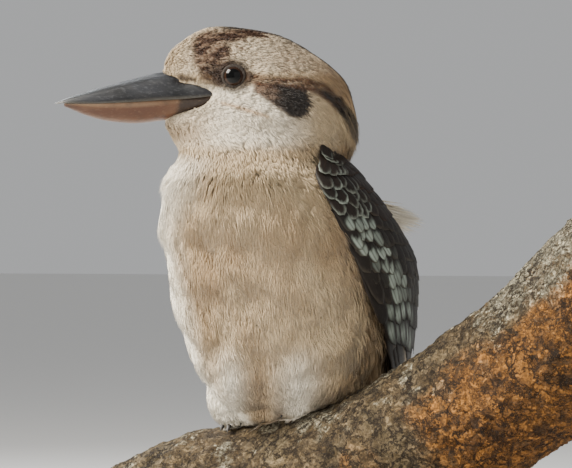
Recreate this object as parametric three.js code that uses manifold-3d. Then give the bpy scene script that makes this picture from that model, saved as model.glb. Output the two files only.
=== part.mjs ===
// A life-size laughing kookaburra, upright and fluffed up on a cut length of rough branch, looking over
// its right side. Two short rods and a flat base hold the branch. Millimetres, +Z up.
//
// The bird is laid out in its own frame: the breast faces -Y, the bird's left is +X, and z = 0 is the
// lowest plumage of the belly. The last lines set that frame on the base, whose underside is z = 0.
import * as THREE from "three";
import { mergeVertices } from "three/addons/utils/BufferGeometryUtils.js";
import Module from "manifold-3d";

const wasm = await Module();
wasm.setup();

const gap = 0.3; // left between pieces that touch
const degrees = Math.PI / 180;
const fullTurn = 2 * Math.PI;
const up = new THREE.Vector3(0, 0, 1);

// Driving sizes of the stand, and how the bird is set on it.
const perchTop = 140; // from the floor up to the lowest plumage of the belly
const branchYaw = 17 * degrees; // the branch runs this far off square to the bird's body
const headYaw = 38 * degrees; // the head is turned this far to the bird's right
const neckPivot = -20; // Y of the upright line that the head turns on
const base = { length: 300, width: 170, thickness: 16, corner: 18, alongBranch: 65 };
const rod = { radius: 6, intoBranch: 16, intoBase: 8, places: [-23, 135] };
const branch = { first: 0.01, last: 0.99, sides: 20, steps: 19, knot: 3 };
const feet = { spacing: 37, forward: 8, start: -0.42, girth: 43 };

// Driving sizes of the bird.
const eye = { forward: 21, height: 204.8, radius: 8.2, sink: 3.0, lid: 6.1, lidThick: 1.0 };
const bill = { tip: 125.5, root: 27, sides: 14, steps: 11, nostril: [50, 202] };
const tail = { root: [0, 44, 34], pitch: 70 * degrees, length: 152, pairs: 5, thick: 0.65, stack: 0.95 };
const wing = { top: 158, bottom: -30, thick: 0.7, roll: 0.13 };
const vaneTimes = { long: [0, 0.4, 0.8, 1], short: [0, 0.45, 0.86, 1] };

// Columns of a table of stations, read at any place by a smooth curve through them.
function stations(names, rows) {
  const at = rows.map((row) => row[0]);
  const slope = (i, k) => {
    const lo = Math.max(i - 1, 0);
    const hi = Math.min(i + 1, rows.length - 1);
    return (rows[hi][k] - rows[lo][k]) / (at[hi] - at[lo]);
  };
  return (x) => {
    const place = Math.min(Math.max(x, at[0]), at[at.length - 1]);
    const i = Math.min(Math.max(at.findIndex((a) => a > place) - 1, 0), at.length - 2);
    const j = place >= at[at.length - 1] ? at.length - 2 : i;
    const span = at[j + 1] - at[j];
    const t = (place - at[j]) / span;
    const read = {};
    names.forEach((name, n) => {
      const k = n + 1;
      const a = rows[j][k];
      const b = rows[j + 1][k];
      const ma = slope(j, k) * span;
      const mb = slope(j + 1, k) * span;
      const fromA = a * (1 + 2 * t) * (1 - t) ** 2 + ma * t * (1 - t) ** 2;
      const fromB = b * t * t * (3 - 2 * t) - mb * t * t * (1 - t);
      read[name] = fromA + fromB;
    });
    return read;
  };
}

const mix = (a, b, t) => a + (b - a) * t;
const bump = (x, middle, spread) => Math.exp(-(((x - middle) / spread) ** 2));
const smooth = (x, from, to) => THREE.MathUtils.smoothstep(x, from, to);

// Solids: a closed three.js geometry becomes a manifold, and back.
function solid(geometry) {
  const bare = geometry.clone();
  Object.keys(bare.attributes)
    .filter((name) => name !== "position")
    .forEach((name) => bare.deleteAttribute(name));
  const merged = mergeVertices(bare, 1e-4);
  const triVerts = new Uint32Array(merged.index.array);
  const vertProperties = merged.attributes.position.array;
  const make = () => new wasm.Manifold(new wasm.Mesh({ numProp: 3, vertProperties, triVerts }));
  const made = make();
  if (made.volume() >= 0) return made;
  for (let i = 0; i < triVerts.length; i += 3) {
    [triVerts[i + 1], triVerts[i + 2]] = [triVerts[i + 2], triVerts[i + 1]];
  }
  return make();
}

function largest(made) {
  return made.decompose().sort((a, b) => b.volume() - a.volume())[0];
}

function geometryOf(made) {
  const mesh = made.getMesh();
  const geometry = new THREE.BufferGeometry();
  geometry.setAttribute("position", new THREE.BufferAttribute(new Float32Array(mesh.vertProperties), 3));
  geometry.setIndex(new THREE.BufferAttribute(new Uint32Array(mesh.triVerts), 1));
  geometry.computeVertexNormals();
  return geometry;
}

const fuse = (pieces) => pieces.reduce((all, piece) => all.add(piece));

// A sphere's grid, each point of it moved to place(turn, rise), both 0 to 1: rise runs from pole to pole.
function shell(sides, levels, place) {
  const geometry = new THREE.SphereGeometry(1, sides, levels);
  const { position, uv } = geometry.attributes;
  for (let i = 0; i < position.count; i += 1) {
    const rise = Math.round(uv.getY(i) * levels) / levels;
    const column = i % (sides + 1);
    const point = place((column % sides) / sides, rise);
    position.setXYZ(i, point.x, point.y, point.z);
  }
  return solid(geometry);
}

// A thin plate between two grids of points that are split into triangles alike on both faces.
function plate(rows, columns, outer, inner) {
  const points = [];
  const index = [];
  const count = rows * columns;
  [outer, inner].forEach((face) => {
    for (let i = 0; i < rows; i += 1) {
      for (let j = 0; j < columns; j += 1) {
        points.push(face(i, j));
      }
    }
  });
  const quad = (a, b, c, d) => index.push(a, b, c, a, c, d);
  for (let i = 0; i + 1 < rows; i += 1) {
    for (let j = 0; j + 1 < columns; j += 1) {
      const a = i * columns + j;
      quad(a, a + 1, a + columns + 1, a + columns);
      index.push(a + count, a + columns + 1 + count, a + 1 + count);
      index.push(a + count, a + columns + count, a + columns + 1 + count);
    }
  }
  const wall = (a, b) => quad(b, a, a + count, b + count);
  for (let i = 0; i + 1 < rows; i += 1) {
    wall((i + 1) * columns, i * columns);
    wall(i * columns + columns - 1, (i + 1) * columns + columns - 1);
  }
  for (let j = 0; j + 1 < columns; j += 1) {
    wall(j, j + 1);
    wall((rows - 1) * columns + j + 1, (rows - 1) * columns + j);
  }
  const geometry = new THREE.BufferGeometry().setFromPoints(points);
  geometry.setIndex(index);
  return solid(geometry);
}

// The bird's outline at each height: reach in front of and behind the pivot, half width, and how much
// narrower the front is than the back.
const outline = stations(
  ["front", "back", "width", "taper"],
  [
    [1, -22, 22, 0, 0],
    [3, 2, 50, 18, 0],
    [8, 17, 68, 33, 0],
    [16, 27, 81, 44, 0],
    [30, 37, 90, 53, -0.06],
    [48, 45, 94, 60, -0.08],
    [65, 51, 94, 63, -0.08],
    [82, 55, 92, 65, -0.08],
    [100, 58, 87, 65, -0.08],
    [116, 62, 76, 63, -0.08],
    [130, 63, 64, 58, -0.08],
    [147, 61, 50, 51, -0.05],
    [155, 55, 50, 46, 0],
    [162, 53.5, 52, 42, 0.1],
    [170, 58, 53.5, 39, 0.25],
    [179, 61.5, 54.5, 37, 0.36],
    [190, 60.5, 52.5, 34.5, 0.4],
    [204, 61.5, 46.5, 31.5, 0.38],
    [212, 62, 39, 28.5, 0.34],
    [220, 58, 28, 24.5, 0.28],
    [228, 49, 14, 18.5, 0.2],
    [232.5, 41.5, 1, 12.5, 0.1],
    [235, 34.5, -15, 7, 0],
    [236, 26, -26, 0, 0],
  ],
);
const body = { bottom: 1, top: 236, sides: 28, levels: 26 };

// A place in the head's own directions: forward along the bill, out to the bird's left, and height.
function turned(forward, left, height, yaw = headYaw) {
  return new THREE.Vector3(
    -Math.sin(yaw) * forward + Math.cos(yaw) * left,
    neckPivot - Math.cos(yaw) * forward - Math.sin(yaw) * left,
    height,
  );
}

// Cheeks out, the lores and the line of the mouth in, and a hollow for the eye.
function face(forward, height) {
  const cheek = 2.6 * bump(forward, 2, 22) * bump(height, 183, 11);
  const chinLine = 178 + 0.3 * (63 - forward);
  const loreHeight = smooth(height, chinLine - 2, chinLine + 5) * (1 - smooth(height, 197, 205));
  const lore = 5.5 * loreHeight * smooth(forward, 20, 36);
  const hollow = 1.6 * bump(forward, eye.forward, 10) * bump(height, eye.height, 8);
  const brow = 1.4 * bump(forward, eye.forward + 2, 18) * bump(height, eye.height + 13, 5);
  return cheek + brow - lore - hollow;
}

function bodyPoint(angle, height, grow = 0) {
  const { front, back, width, taper } = outline(height);
  const middle = (front - back) / 2;
  const half = (front + back) / 2;
  const forward = middle + (half + (half > 0 ? grow : 0)) * Math.cos(angle);
  const side = Math.sin(angle) * (1 - taper * Math.cos(angle));
  const head = smooth(height, 168, 182);
  const left = (width + (width > 0 ? grow : 0) + face(forward, height) * head) * side;
  return turned(forward, left, height, headYaw * smooth(height, 140, 168));
}

function wholeBody(grow) {
  return shell(body.sides, body.levels, (turn, rise) => {
    const eased = rise - 0.1 * Math.sin(fullTurn * rise);
    const point = bodyPoint(turn * fullTurn, mix(body.bottom, body.top, eased), grow);
    point.z += grow * (2 * rise - 1);
    return point;
  });
}

// A block that covers everything between two heights.
function slab(from, to) {
  const reach = 400;
  const block = new THREE.BoxGeometry(reach, reach, to - from);
  block.translate(0, 0, (from + to) / 2);
  return solid(block);
}

// A rounded form along a line: radii across and through at each share of the way.
function limb(from, to, sides, levels, radii, across = new THREE.Vector3(1, 0, 0)) {
  const line = to.clone().sub(from).normalize();
  const side = across.clone().addScaledVector(line, -across.dot(line)).normalize();
  const through = line.clone().cross(side);
  return shell(sides, levels, (turn, rise) => {
    const { wide, deep } = radii(rise);
    return from
      .clone()
      .lerp(to, rise)
      .addScaledVector(side, wide * Math.cos(turn * fullTurn))
      .addScaledVector(through, deep * Math.sin(turn * fullTurn));
  });
}

// The branch: its axis rises to the bird's left, and its bark swells and sinks along it.
const along = new THREE.Vector3(Math.cos(branchYaw), Math.sin(branchYaw), 0);
const ahead = new THREE.Vector3(Math.sin(branchYaw), -Math.cos(branchYaw), 0);
const underFeet = new THREE.Vector3(0, -feet.forward, 0);
const branchAxis = new THREE.CatmullRomCurve3(
  [
    [-99, -68.5],
    [-55, -49.2],
    [-7, -40.2],
    [47, -28],
    [98, -7],
    [145, 17],
    [191, 49],
    [247, 101],
  ].map(([run, height]) => underFeet.clone().addScaledVector(along, run).addScaledVector(up, height)),
);

function branchFrame(place) {
  const centre = branchAxis.getPoint(place);
  const tangent = branchAxis.getTangent(place);
  const top = up.clone().addScaledVector(tangent, -tangent.z).normalize();
  return { centre, top, front: top.clone().cross(tangent).negate() };
}

// angle 0 is the top of the branch, and it grows towards the front.
function branchRadius(place, angle) {
  const girth = mix(40.5, 49, smooth(place, 0.25, 1));
  const burls = 1.3 * Math.sin(3 * angle + 9 * place) + 0.9 * Math.sin(5 * angle - 21 * place + 1);
  const knot = branch.knot * bump(place, 0.53, 0.06) * bump(Math.cos(angle - 1.9), 1, 0.25);
  return girth + burls + knot + 0.8 * Math.sin(34 * place + 2 * Math.cos(angle));
}

function branchPoint(place, angle, lift = 0) {
  const { centre, top, front } = branchFrame(place);
  const reach = branchRadius(place, angle) + lift;
  return centre
    .addScaledVector(top, reach * Math.cos(angle))
    .addScaledVector(front, reach * Math.sin(angle));
}

function branchSolid(grow) {
  const { first, last, sides, steps } = branch;
  return shell(sides, steps + 2, (turn, rise) => {
    const step = Math.round(rise * (steps + 2));
    const ring = Math.min(Math.max(step - 1, 0), steps);
    const place = mix(first, last, ring / steps);
    const cap = step === 0 || step === steps + 2;
    return cap ? branchFrame(place).centre : branchPoint(place, turn * fullTurn, grow);
  });
}

// Share of the branch's length at which it passes a given run from the feet's middle.
function placeAt(run) {
  let lo = 0;
  let hi = 1;
  for (let i = 0; i < 30; i += 1) {
    const middle = (lo + hi) / 2;
    if (branchAxis.getPoint(middle).sub(underFeet).dot(along) < run) {
      lo = middle;
    } else {
      hi = middle;
    }
  }
  return lo;
}

// Feet: each toe follows the bark. Three toes lie forward, the two outer ones joined at their base.
const toes = [
  { name: "inner", spread: -0.2, reach: 25, radius: 3.1, bend: 1 },
  { name: "middle", spread: 0.05, reach: 32, radius: 3.3, bend: 1 },
  { name: "outer", spread: 0.24, reach: 29, radius: 3.1, bend: 1 },
  { name: "hind", spread: 0.1, reach: 19, radius: 3.0, bend: -1 },
];
const claw = { length: 10, radius: 1.9, sides: 6, levels: 5 };

function toePoint(foot, toe, share, lift) {
  const arc = feet.start + (toe.bend * toe.reach * share) / feet.girth;
  const place = foot.place + (toe.spread * toe.reach * share * foot.side) / branchAxis.getLength();
  return branchPoint(place, arc, lift);
}

function footSolid(foot, grow) {
  const pieces = toes.map((toe) =>
    shell(7, 6, (turn, rise) => {
      const girth = toe.radius * (0.94 + 0.1 * Math.cos(rise * 3 * fullTurn)) * (1 - 0.22 * rise);
      const round = Math.sqrt(Math.max(1 - (2 * rise - 1) ** 6, 0));
      const centre = toePoint(foot, toe, rise, toe.radius * 0.8);
      const outwards = toePoint(foot, toe, rise, toe.radius * 2).sub(centre).normalize();
      const reach = (girth + grow) * round;
      return centre
        .addScaledVector(along, reach * Math.cos(turn * fullTurn))
        .addScaledVector(outwards, reach * 0.86 * Math.sin(turn * fullTurn));
    }),
  );
  const root = toePoint(foot, toes[1], 0, 2);
  const ankle = root.clone().addScaledVector(up, 13);
  const shank = limb(root, ankle, 8, 5, (rise) => {
    const round = Math.sqrt(Math.max(1 - (2 * rise - 1) ** 4, 0));
    return { wide: (5.2 + grow) * round, deep: (4.8 + grow) * round };
  });
  return fuse([...pieces, shank]);
}

function clawSolid(foot, toe, grow) {
  return shell(claw.sides, claw.levels, (turn, rise) => {
    const share = 0.93 + (claw.length / toe.reach) * rise;
    const lift = toe.radius * 0.9 + 1.5 * Math.sin(Math.PI * rise) - 1.1 * rise;
    const centre = toePoint(foot, toe, share, lift);
    const outwards = toePoint(foot, toe, share, lift + 2).sub(centre).normalize();
    const girth = (claw.radius + grow) * Math.sqrt(Math.max(1 - rise ** 1.6, 0)) * (rise > 0 ? 1 : 0);
    return centre
      .addScaledVector(along, girth * 0.8 * Math.cos(turn * fullTurn))
      .addScaledVector(outwards, girth * Math.sin(turn * fullTurn));
  });
}

// Legs: loose plumage that falls from the belly over the toes, so that little more than the claws shows.
function legSolid(foot, grow) {
  const low = toePoint(foot, toes[1], 0.84, 1);
  const high = new THREE.Vector3(30 * foot.side, -6, 56);
  return limb(low, high, 12, 7, (rise) => {
    const round = Math.sqrt(Math.max(1 - Math.abs(2 * rise - 1) ** 5, 0));
    const girth = mix(16, 28, rise ** 0.75);
    return { wide: (girth + grow) * round, deep: (girth * 1.06 + grow) * round };
  });
}

// The bill: a ridged upper half and a keeled lower half, met along the line of the mouth.
const billLines = stations(
  ["ridge", "mouth", "keel", "width"],
  [
    [27, 201, 194.2, 188, 19.5],
    [38, 205.5, 192.6, 183, 18.4],
    [50, 207.6, 191.6, 181.2, 15.8],
    [63, 207, 191, 179, 13.8],
    [77, 203.8, 190, 177.5, 11.9],
    [90, 200.6, 189.4, 178.2, 9.9],
    [100, 198, 189, 180, 8],
    [109, 195.3, 188.9, 182.8, 6],
    [116, 193.1, 189, 185.7, 4],
    [121, 191.2, 189.1, 187.6, 2.4],
    [125.5, 189.3, 188.9, 188.6, 0.5],
  ],
);

function billSolid(half, grow) {
  const tip = half > 0 ? bill.tip : bill.tip - 5.5;
  return shell(bill.sides, bill.steps + 2, (turn, rise) => {
    const step = Math.round(rise * (bill.steps + 2));
    const ring = Math.min(Math.max(step - 1, 0), bill.steps);
    const share = ring / bill.steps;
    const forward = mix(bill.root - grow, tip + grow, share ** 0.88);
    const { ridge, mouth, keel, width } = billLines(forward);
    const edge = mouth + (half * gap) / 2 - half * grow;
    const depth = Math.max(half > 0 ? ridge - edge : edge - keel, 0.3) + grow;
    const cap = step === 0 || step === bill.steps + 2;
    if (cap) return turned(forward + (step ? 0.4 : 0), 0, edge + half * depth * 0.45);
    const angle = Math.PI * turn * 2;
    const arch = Math.sin(angle) > 0 ? Math.sin(angle) ** 0.86 : 0;
    const inset = half > 0 ? 1 : 0.97;
    return turned(forward, (width + grow) * inset * Math.cos(angle), edge + half * depth * arch);
  });
}

function nostril(side) {
  const [forward, height] = bill.nostril;
  const from = turned(forward - 4.5, side * 13.2, height - 0.7);
  const to = turned(forward + 4.5, side * 11.6, height + 0.5);
  return limb(from, to, 8, 6, (rise) => {
    const round = Math.sqrt(Math.max(1 - (2 * rise - 1) ** 2, 0));
    return { wide: 1.3 * round, deep: 3 * round };
  }, up);
}

// Eyes: a ball in a socket, with a raised lid round it.
function eyePlaces(side) {
  const forward = eye.forward;
  const { front, back, width, taper } = outline(eye.height);
  const cosine = (forward - (front - back) / 2) / ((front + back) / 2);
  const sine = Math.sqrt(1 - cosine ** 2);
  const left = (width + face(forward, eye.height)) * sine * (1 - taper * cosine);
  const surface = turned(forward, side * left, eye.height);
  const outward = turned(0.2, side, 0.06).sub(turned(0, 0, 0)).normalize();
  return { outward, surface, centre: surface.clone().addScaledVector(outward, eye.sink - eye.radius) };
}

function ball(centre, radius) {
  const sphere = new THREE.SphereGeometry(radius, 12, 9);
  sphere.translate(centre.x, centre.y, centre.z);
  return solid(sphere);
}

function lid(side) {
  const { outward, centre } = eyePlaces(side);
  const rim = Math.sqrt(eye.radius ** 2 - eye.lid ** 2);
  const ring = new THREE.TorusGeometry(eye.lid, eye.lidThick, 6, 18);
  ring.scale(1.08, 0.92, 1);
  ring.applyQuaternion(new THREE.Quaternion().setFromUnitVectors(up, outward));
  const middle = centre.clone().addScaledVector(outward, rim - 0.1);
  ring.translate(middle.x, middle.y, middle.z);
  return solid(ring);
}

// Wings: a surface that wraps the back and flank, laid out by run (0 shoulder, 1 tip) and by
// width (0 breast edge, 1 back edge), on which every feather lies at a stated lift.
const flank = stations(
  ["wide", "middle", "behind", "breastEdge", "backEdge"],
  [
    [-30, 25, 46, 82, 151, 166],
    [-10, 34, 35, 80, 138, 173],
    [10, 47, 24, 80, 122, 175],
    [33, 60, 14, 82, 108, 175],
    [48, 65, 9, 82, 98, 174],
    [65, 69, 5, 81, 93, 173],
    [94, 71, 1, 78, 82, 169],
    [115, 69, -6, 64, 78, 164],
    [130, 65, -12, 51, 78, 158],
    [142, 60, -17, 40, 79, 150],
    [150, 55, -20, 33, 83, 142],
    [158, 49, -22, 24, 95, 122],
  ],
);

function wingPoint(side, run, width, lift) {
  const height = mix(wing.top, wing.bottom, run);
  const at = (h, w) => {
    const f = flank(h);
    const angle = mix(f.breastEdge, f.backEdge, w) * degrees;
    const depth = angle > Math.PI / 2 ? f.behind - f.middle : 74;
    return new THREE.Vector3(side * f.wide * Math.sin(angle), f.middle - depth * Math.cos(angle), h);
  };
  const point = at(height, width);
  const down = at(height - 1, width).sub(at(height + 1, width));
  const acrossWing = at(height, width + 0.02).sub(at(height, width - 0.02));
  const normal = down.cross(acrossWing).normalize().multiplyScalar(side);
  if (normal.x * side < 0 && normal.y < 0) normal.negate();
  return { point: point.addScaledVector(normal, lift), normal };
}

// Share of a feather's full width at each time along it.
const vaneWidth = stations(
  ["share"],
  [
    [0, 0.55],
    [0.3, 0.86],
    [0.62, 1],
    [0.86, 0.84],
    [0.96, 0.48],
    [1, 0.14],
  ],
);

// One feather: a flat vane along a path, widest past its middle, its tip rounded, rolled a little so
// that neighbours overlap.
function vane(path, size, times) {
  const rows = times.map((time) => {
    const here = path(time);
    const before = path(Math.max(time - 0.03, 0));
    const after = path(Math.min(time + 0.03, 1));
    const line = after.point.clone().sub(before.point).normalize();
    const across = line.clone().cross(here.normal).normalize();
    const half = (size.width / 2) * vaneWidth(time).share;
    const edge = (way) =>
      here.point
        .clone()
        .addScaledVector(across, way * half)
        .addScaledVector(here.normal, way * half * size.roll);
    return { edges: [edge(-1), edge(1)], normal: here.normal, thick: size.thick * mix(1, 0.75, time) };
  });
  const face = (way) => (i, j) =>
    rows[i].edges[j].clone().addScaledVector(rows[i].normal, (way * rows[i].thick) / 2);
  return plate(times.length, 2, face(1), face(-1));
}

// Tiers of the wing, from the flight feathers out. Each says where its first and last roots and tips
// lie, as run and width, how high roots and tips sit, and how wide a feather is.
const tiers = [
  {
    count: 4,
    root: [0.58, 0.14, 0.54, 0.5],
    tip: [0.84, 0.12, 1, 0.66],
    lift: [-3.6, -4],
    width: 14,
    stack: 1.05,
  },
  {
    count: 4,
    root: [0.55, 0.46, 0.54, 0.9],
    tip: [0.86, 0.62, 0.77, 0.96],
    lift: [-3.4, -2.2],
    width: 19,
    stack: 1.05,
  },
  {
    count: 6,
    root: [0.39, 0.08, 0.38, 0.9],
    tip: [0.57, 0.1, 0.61, 0.92],
    lift: [-4, -0.5],
    width: 19.5,
    stack: 0,
  },
  {
    count: 5,
    root: [0.27, 0.08, 0.27, 0.84],
    tip: [0.44, 0.12, 0.46, 0.86],
    lift: [-3.9, 0.5],
    width: 21,
    stack: 0,
  },
  {
    count: 4,
    root: [0.16, 0.08, 0.16, 0.8],
    tip: [0.31, 0.12, 0.32, 0.84],
    lift: [-3.9, 0.9],
    width: 24,
    stack: 0,
  },
  {
    count: 3,
    root: [0.02, 0.16, 0.02, 0.78],
    tip: [0.19, 0.14, 0.19, 0.82],
    lift: [-3.9, 1.2],
    width: 28,
    stack: 0,
  },
  {
    count: 3,
    root: [0.12, 0.97, 0.4, 0.99],
    tip: [0.38, 0.92, 0.7, 0.95],
    lift: [-4, 1.4],
    width: 21,
    stack: 0,
  },
];

function tierFeathers(side, tier) {
  const times = tier.stack > 0 ? vaneTimes.long : vaneTimes.short;
  return Array.from({ length: tier.count }, (_, i) => {
    const share = i / (tier.count - 1);
    const spot = ([run, width, lastRun, lastWidth]) => [
      mix(run, lastRun, share),
      mix(width, lastWidth, share),
    ];
    const [rootRun, rootWidth] = spot(tier.root);
    const [tipRun, tipWidth] = spot(tier.tip);
    const path = (t) => {
      const lift = mix(tier.lift[0] + 0.2 * tier.stack * i, tier.lift[1] + tier.stack * i, t ** 0.35);
      return wingPoint(side, mix(rootRun, tipRun, t), mix(rootWidth, tipWidth, t), lift);
    };
    const roll = tier.stack > 0 ? 0 : -wing.roll * side;
    const size = { width: tier.width * (1 + 0.05 * Math.sin(5 * i)), thick: wing.thick, roll };
    return vane(path, size, times);
  });
}

function wingCore(side) {
  const rows = 9;
  const columns = 5;
  const face = (lift) => (i, j) => {
    const run = mix(0.03, 0.8, i / (rows - 1));
    const narrow = smooth(run, 0.5, 0.85);
    return wingPoint(side, run, mix(mix(0.07, 0.4, narrow), 0.93, j / (columns - 1)), lift).point;
  };
  return plate(rows, columns, face(-2.6), face(-8));
}

function wingSolid(side) {
  const whole = fuse([wingCore(side), ...tiers.flatMap((tier) => tierFeathers(side, tier))]);
  const half = new THREE.BoxGeometry(300, 600, 600);
  half.translate(side * (150 + gap), 0, 0);
  return whole.intersect(solid(half));
}

// The tail: five pairs of vanes, the middle pair on top, with coverts over and under their roots.
const tailLine = new THREE.Vector3(0, Math.cos(tail.pitch), -Math.sin(tail.pitch));
const tailTop = new THREE.Vector3(0, Math.sin(tail.pitch), Math.cos(tail.pitch));

function tailPoint(run, left, lift) {
  return new THREE.Vector3(...tail.root)
    .addScaledVector(tailLine, run)
    .addScaledVector(tailTop, lift)
    .add(new THREE.Vector3(left, 0, 0));
}

function tailVane(from, to, size, times) {
  const path = (t) => ({
    point: tailPoint(mix(from.run, to.run, t), mix(from.left, to.left, t), mix(from.lift, to.lift, t)),
    normal: tailTop.clone(),
  });
  return vane(path, size, times);
}

function tailSolid() {
  const pieces = [
    limb(tailPoint(-16, 0, 0), tailPoint(44, 0, -1), 14, 8, (rise) => {
      const round = Math.sqrt(Math.max(1 - (2 * rise - 1) ** 6, 0));
      return { wide: mix(17, 11, rise) * round, deep: mix(10, 5.5, rise) * round };
    }),
  ];
  for (let pair = 0; pair < tail.pairs; pair += 1) {
    [-1, 1].forEach((side) => {
      const lift = 3.4 - tail.stack * (2 * pair + (side > 0 ? 1 : 0));
      const from = { run: 12, left: side * (2 + 1.3 * pair), lift };
      const to = { run: tail.length - 3 * pair, left: side * (4.5 + 3.2 * pair), lift };
      pieces.push(tailVane(from, to, { width: 23 - pair, thick: tail.thick, roll: 0 }, vaneTimes.long));
    });
  }
  for (let i = 0; i < 4; i += 1) {
    const left = (i - 1.5) * 7;
    const fall = 4 * Math.abs(i - 1.5);
    const over = {
      from: { run: 2, left, lift: 5 },
      to: { run: 56 - fall, left: left * 1.15, lift: 6 },
      size: { width: 14, thick: 0.8, roll: 0.12 },
    };
    const under = {
      from: { run: 0, left, lift: -6 },
      to: { run: 64 - fall, left: left * 1.1, lift: -8 },
      size: { width: 15, thick: 0.8, roll: -0.12 },
    };
    [over, under].forEach(({ from, to, size }) => pieces.push(tailVane(from, to, size, vaneTimes.short)));
  }
  return fuse(pieces);
}

// The rump and vent carry the torso down to the root of the tail.
function rump(grow) {
  return limb(tailPoint(-46, 0, -4), tailPoint(20, 0, 0), 16, 9, (rise) => {
    const round = Math.sqrt(Math.max(1 - Math.abs(2 * rise - 1) ** 5, 0));
    return { wide: (mix(46, 18, rise ** 1.2) + grow) * round, deep: (mix(38, 13, rise) + grow) * round };
  });
}

// The stand: a flat base with round corners, and two rods let into it and into the branch.
const baseTop = base.thickness - perchTop;
const baseCentre = underFeet.clone().addScaledVector(along, base.alongBranch);

function rodSolid(run, grow) {
  const place = placeAt(run);
  const { centre } = branchFrame(place);
  const low = baseTop - rod.intoBase - grow;
  const high = centre.z - branchRadius(place, Math.PI) + rod.intoBranch + grow;
  const cylinder = new THREE.CylinderGeometry(rod.radius + grow, rod.radius + grow, high - low, 20);
  cylinder.rotateX(Math.PI / 2);
  cylinder.translate(centre.x, centre.y, (low + high) / 2);
  return solid(cylinder);
}

function baseSolid() {
  const { length, width, thickness, corner } = base;
  const plan = new THREE.Shape();
  const [x, y] = [length / 2 - corner, width / 2 - corner];
  [[x, y, 0], [-x, y, 1], [-x, -y, 2], [x, -y, 3]].forEach(([cx, cy, quarter]) => {
    plan.absarc(cx, cy, corner, (quarter * Math.PI) / 2, ((quarter + 1) * Math.PI) / 2, false);
  });
  const edge = 1.5;
  const block = new THREE.ExtrudeGeometry(plan, {
    depth: thickness - 2 * edge,
    bevelEnabled: true,
    bevelSize: edge,
    bevelThickness: edge,
    bevelOffset: -edge,
    bevelSegments: 1,
    curveSegments: 4,
  });
  block.rotateZ(branchYaw);
  block.translate(baseCentre.x, baseCentre.y, edge - perchTop);
  return solid(block);
}

// Nodes, each cut clear of the ones it meets.
const finish = {
  cream: { color: 0xcfc0a6, roughness: 0.9, metalness: 0 },
  brown: { color: 0x3a291c, roughness: 0.8, metalness: 0 },
  rufous: { color: 0x8a5a34, roughness: 0.8, metalness: 0 },
  eye: { color: 0x1a0f0a, roughness: 0.08, metalness: 0 },
  billUpper: { color: 0x2b2b2e, roughness: 0.45, metalness: 0 },
  billLower: { color: 0xa87552, roughness: 0.5, metalness: 0 },
  foot: { color: 0x6d6a5e, roughness: 0.6, metalness: 0 },
  claw: { color: 0x1f1c1b, roughness: 0.35, metalness: 0 },
  bark: { color: 0x8a755c, roughness: 0.95, metalness: 0 },
  wood: { color: 0x4b3324, roughness: 0.5, metalness: 0 },
  metal: { color: 0x55575a, roughness: 0.35, metalness: 1 },
};
const model = new THREE.Group();
const footPlaces = { left: 1, right: -1 };

function add(name, made, material) {
  const mesh = new THREE.Mesh(geometryOf(largest(made)), new THREE.MeshStandardMaterial(material));
  mesh.name = name;
  model.add(mesh);
}

const rods = rod.places.map((run) => rodSolid(run, 0));
const rodHoles = rod.places.map((run) => rodSolid(run, gap));
const bark = branchSolid(0).subtract(fuse(rodHoles));
const barkCut = branchSolid(gap);
add("stand_base", baseSolid().subtract(fuse(rodHoles)), finish.wood);
rods.forEach((made, i) => add(`stand_rod_${i + 1}`, made, finish.metal));
add("perch_branch", bark, finish.bark);

const trunk = wholeBody(0);
const trunkCut = wholeBody(gap);
const neckLine = { low: 149, high: 170 };
const legs = Object.entries(footPlaces).map(([name, side]) => {
  const place = placeAt((side * feet.spacing) / 2);
  return { name, foot: { side, place } };
});
const legCuts = fuse(legs.map(({ foot }) => legSolid(foot, gap)));
const toeCuts = legs.map(({ foot }) => {
  const claws = toes.map((toe) => clawSolid(foot, toe, gap));
  return fuse([footSolid(foot, gap), ...claws]);
});
const torsoForm = trunk.add(rump(0)).intersect(slab(-90, neckLine.low)).subtract(fuse(toeCuts));
const torsoCut = fuse([trunkCut, rump(gap)]);
add("torso", torsoForm.subtract(legCuts).subtract(barkCut), finish.cream);
add("neck", trunk.intersect(slab(neckLine.low + gap, neckLine.high)), finish.cream);

const sockets = [1, -1].map((side) => ball(eyePlaces(side).centre, eye.radius + gap));
const billCuts = fuse([billSolid(1, gap), billSolid(-1, gap)]);
const nostrils = fuse([nostril(1), nostril(-1)]);
const headForm = fuse([trunk.intersect(slab(neckLine.high + gap, 300)), lid(1), lid(-1)]);
add("head", headForm.subtract(fuse(sockets)).subtract(billCuts).subtract(nostrils), finish.cream);
add("bill_upper", billSolid(1, 0).subtract(nostrils), finish.billUpper);
add("bill_lower", billSolid(-1, 0), finish.billLower);
add("eye_left", ball(eyePlaces(1).centre, eye.radius), finish.eye);
add("eye_right", ball(eyePlaces(-1).centre, eye.radius), finish.eye);

legs.forEach(({ name, foot }, i) => {
  add(`leg_${name}`, legSolid(foot, 0).subtract(toeCuts[i]).subtract(barkCut), finish.cream);
  add(`foot_${name}`, footSolid(foot, 0).subtract(barkCut), finish.foot);
  toes.forEach((toe) => {
    const point = clawSolid(foot, toe, 0).subtract(footSolid(foot, gap)).subtract(barkCut);
    add(`claw_${name}_${toe.name}`, point, finish.claw);
  });
});

const tailForm = tailSolid().subtract(torsoCut).subtract(barkCut);
add("tail", tailForm, finish.rufous);
add("wing_left", wingSolid(1).subtract(torsoCut).subtract(tailForm).subtract(barkCut), finish.brown);
add("wing_right", wingSolid(-1).subtract(torsoCut).subtract(tailForm).subtract(barkCut), finish.brown);

// The bird's frame is turned and set so that the base lies along X, with its underside's centre at 0.
const kookaburra = new THREE.Group();
model.rotation.z = -branchYaw;
const offset = baseCentre.clone().applyAxisAngle(up, -branchYaw);
model.position.set(-offset.x, -offset.y, perchTop);
kookaburra.add(model);

export default kookaburra;
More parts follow.
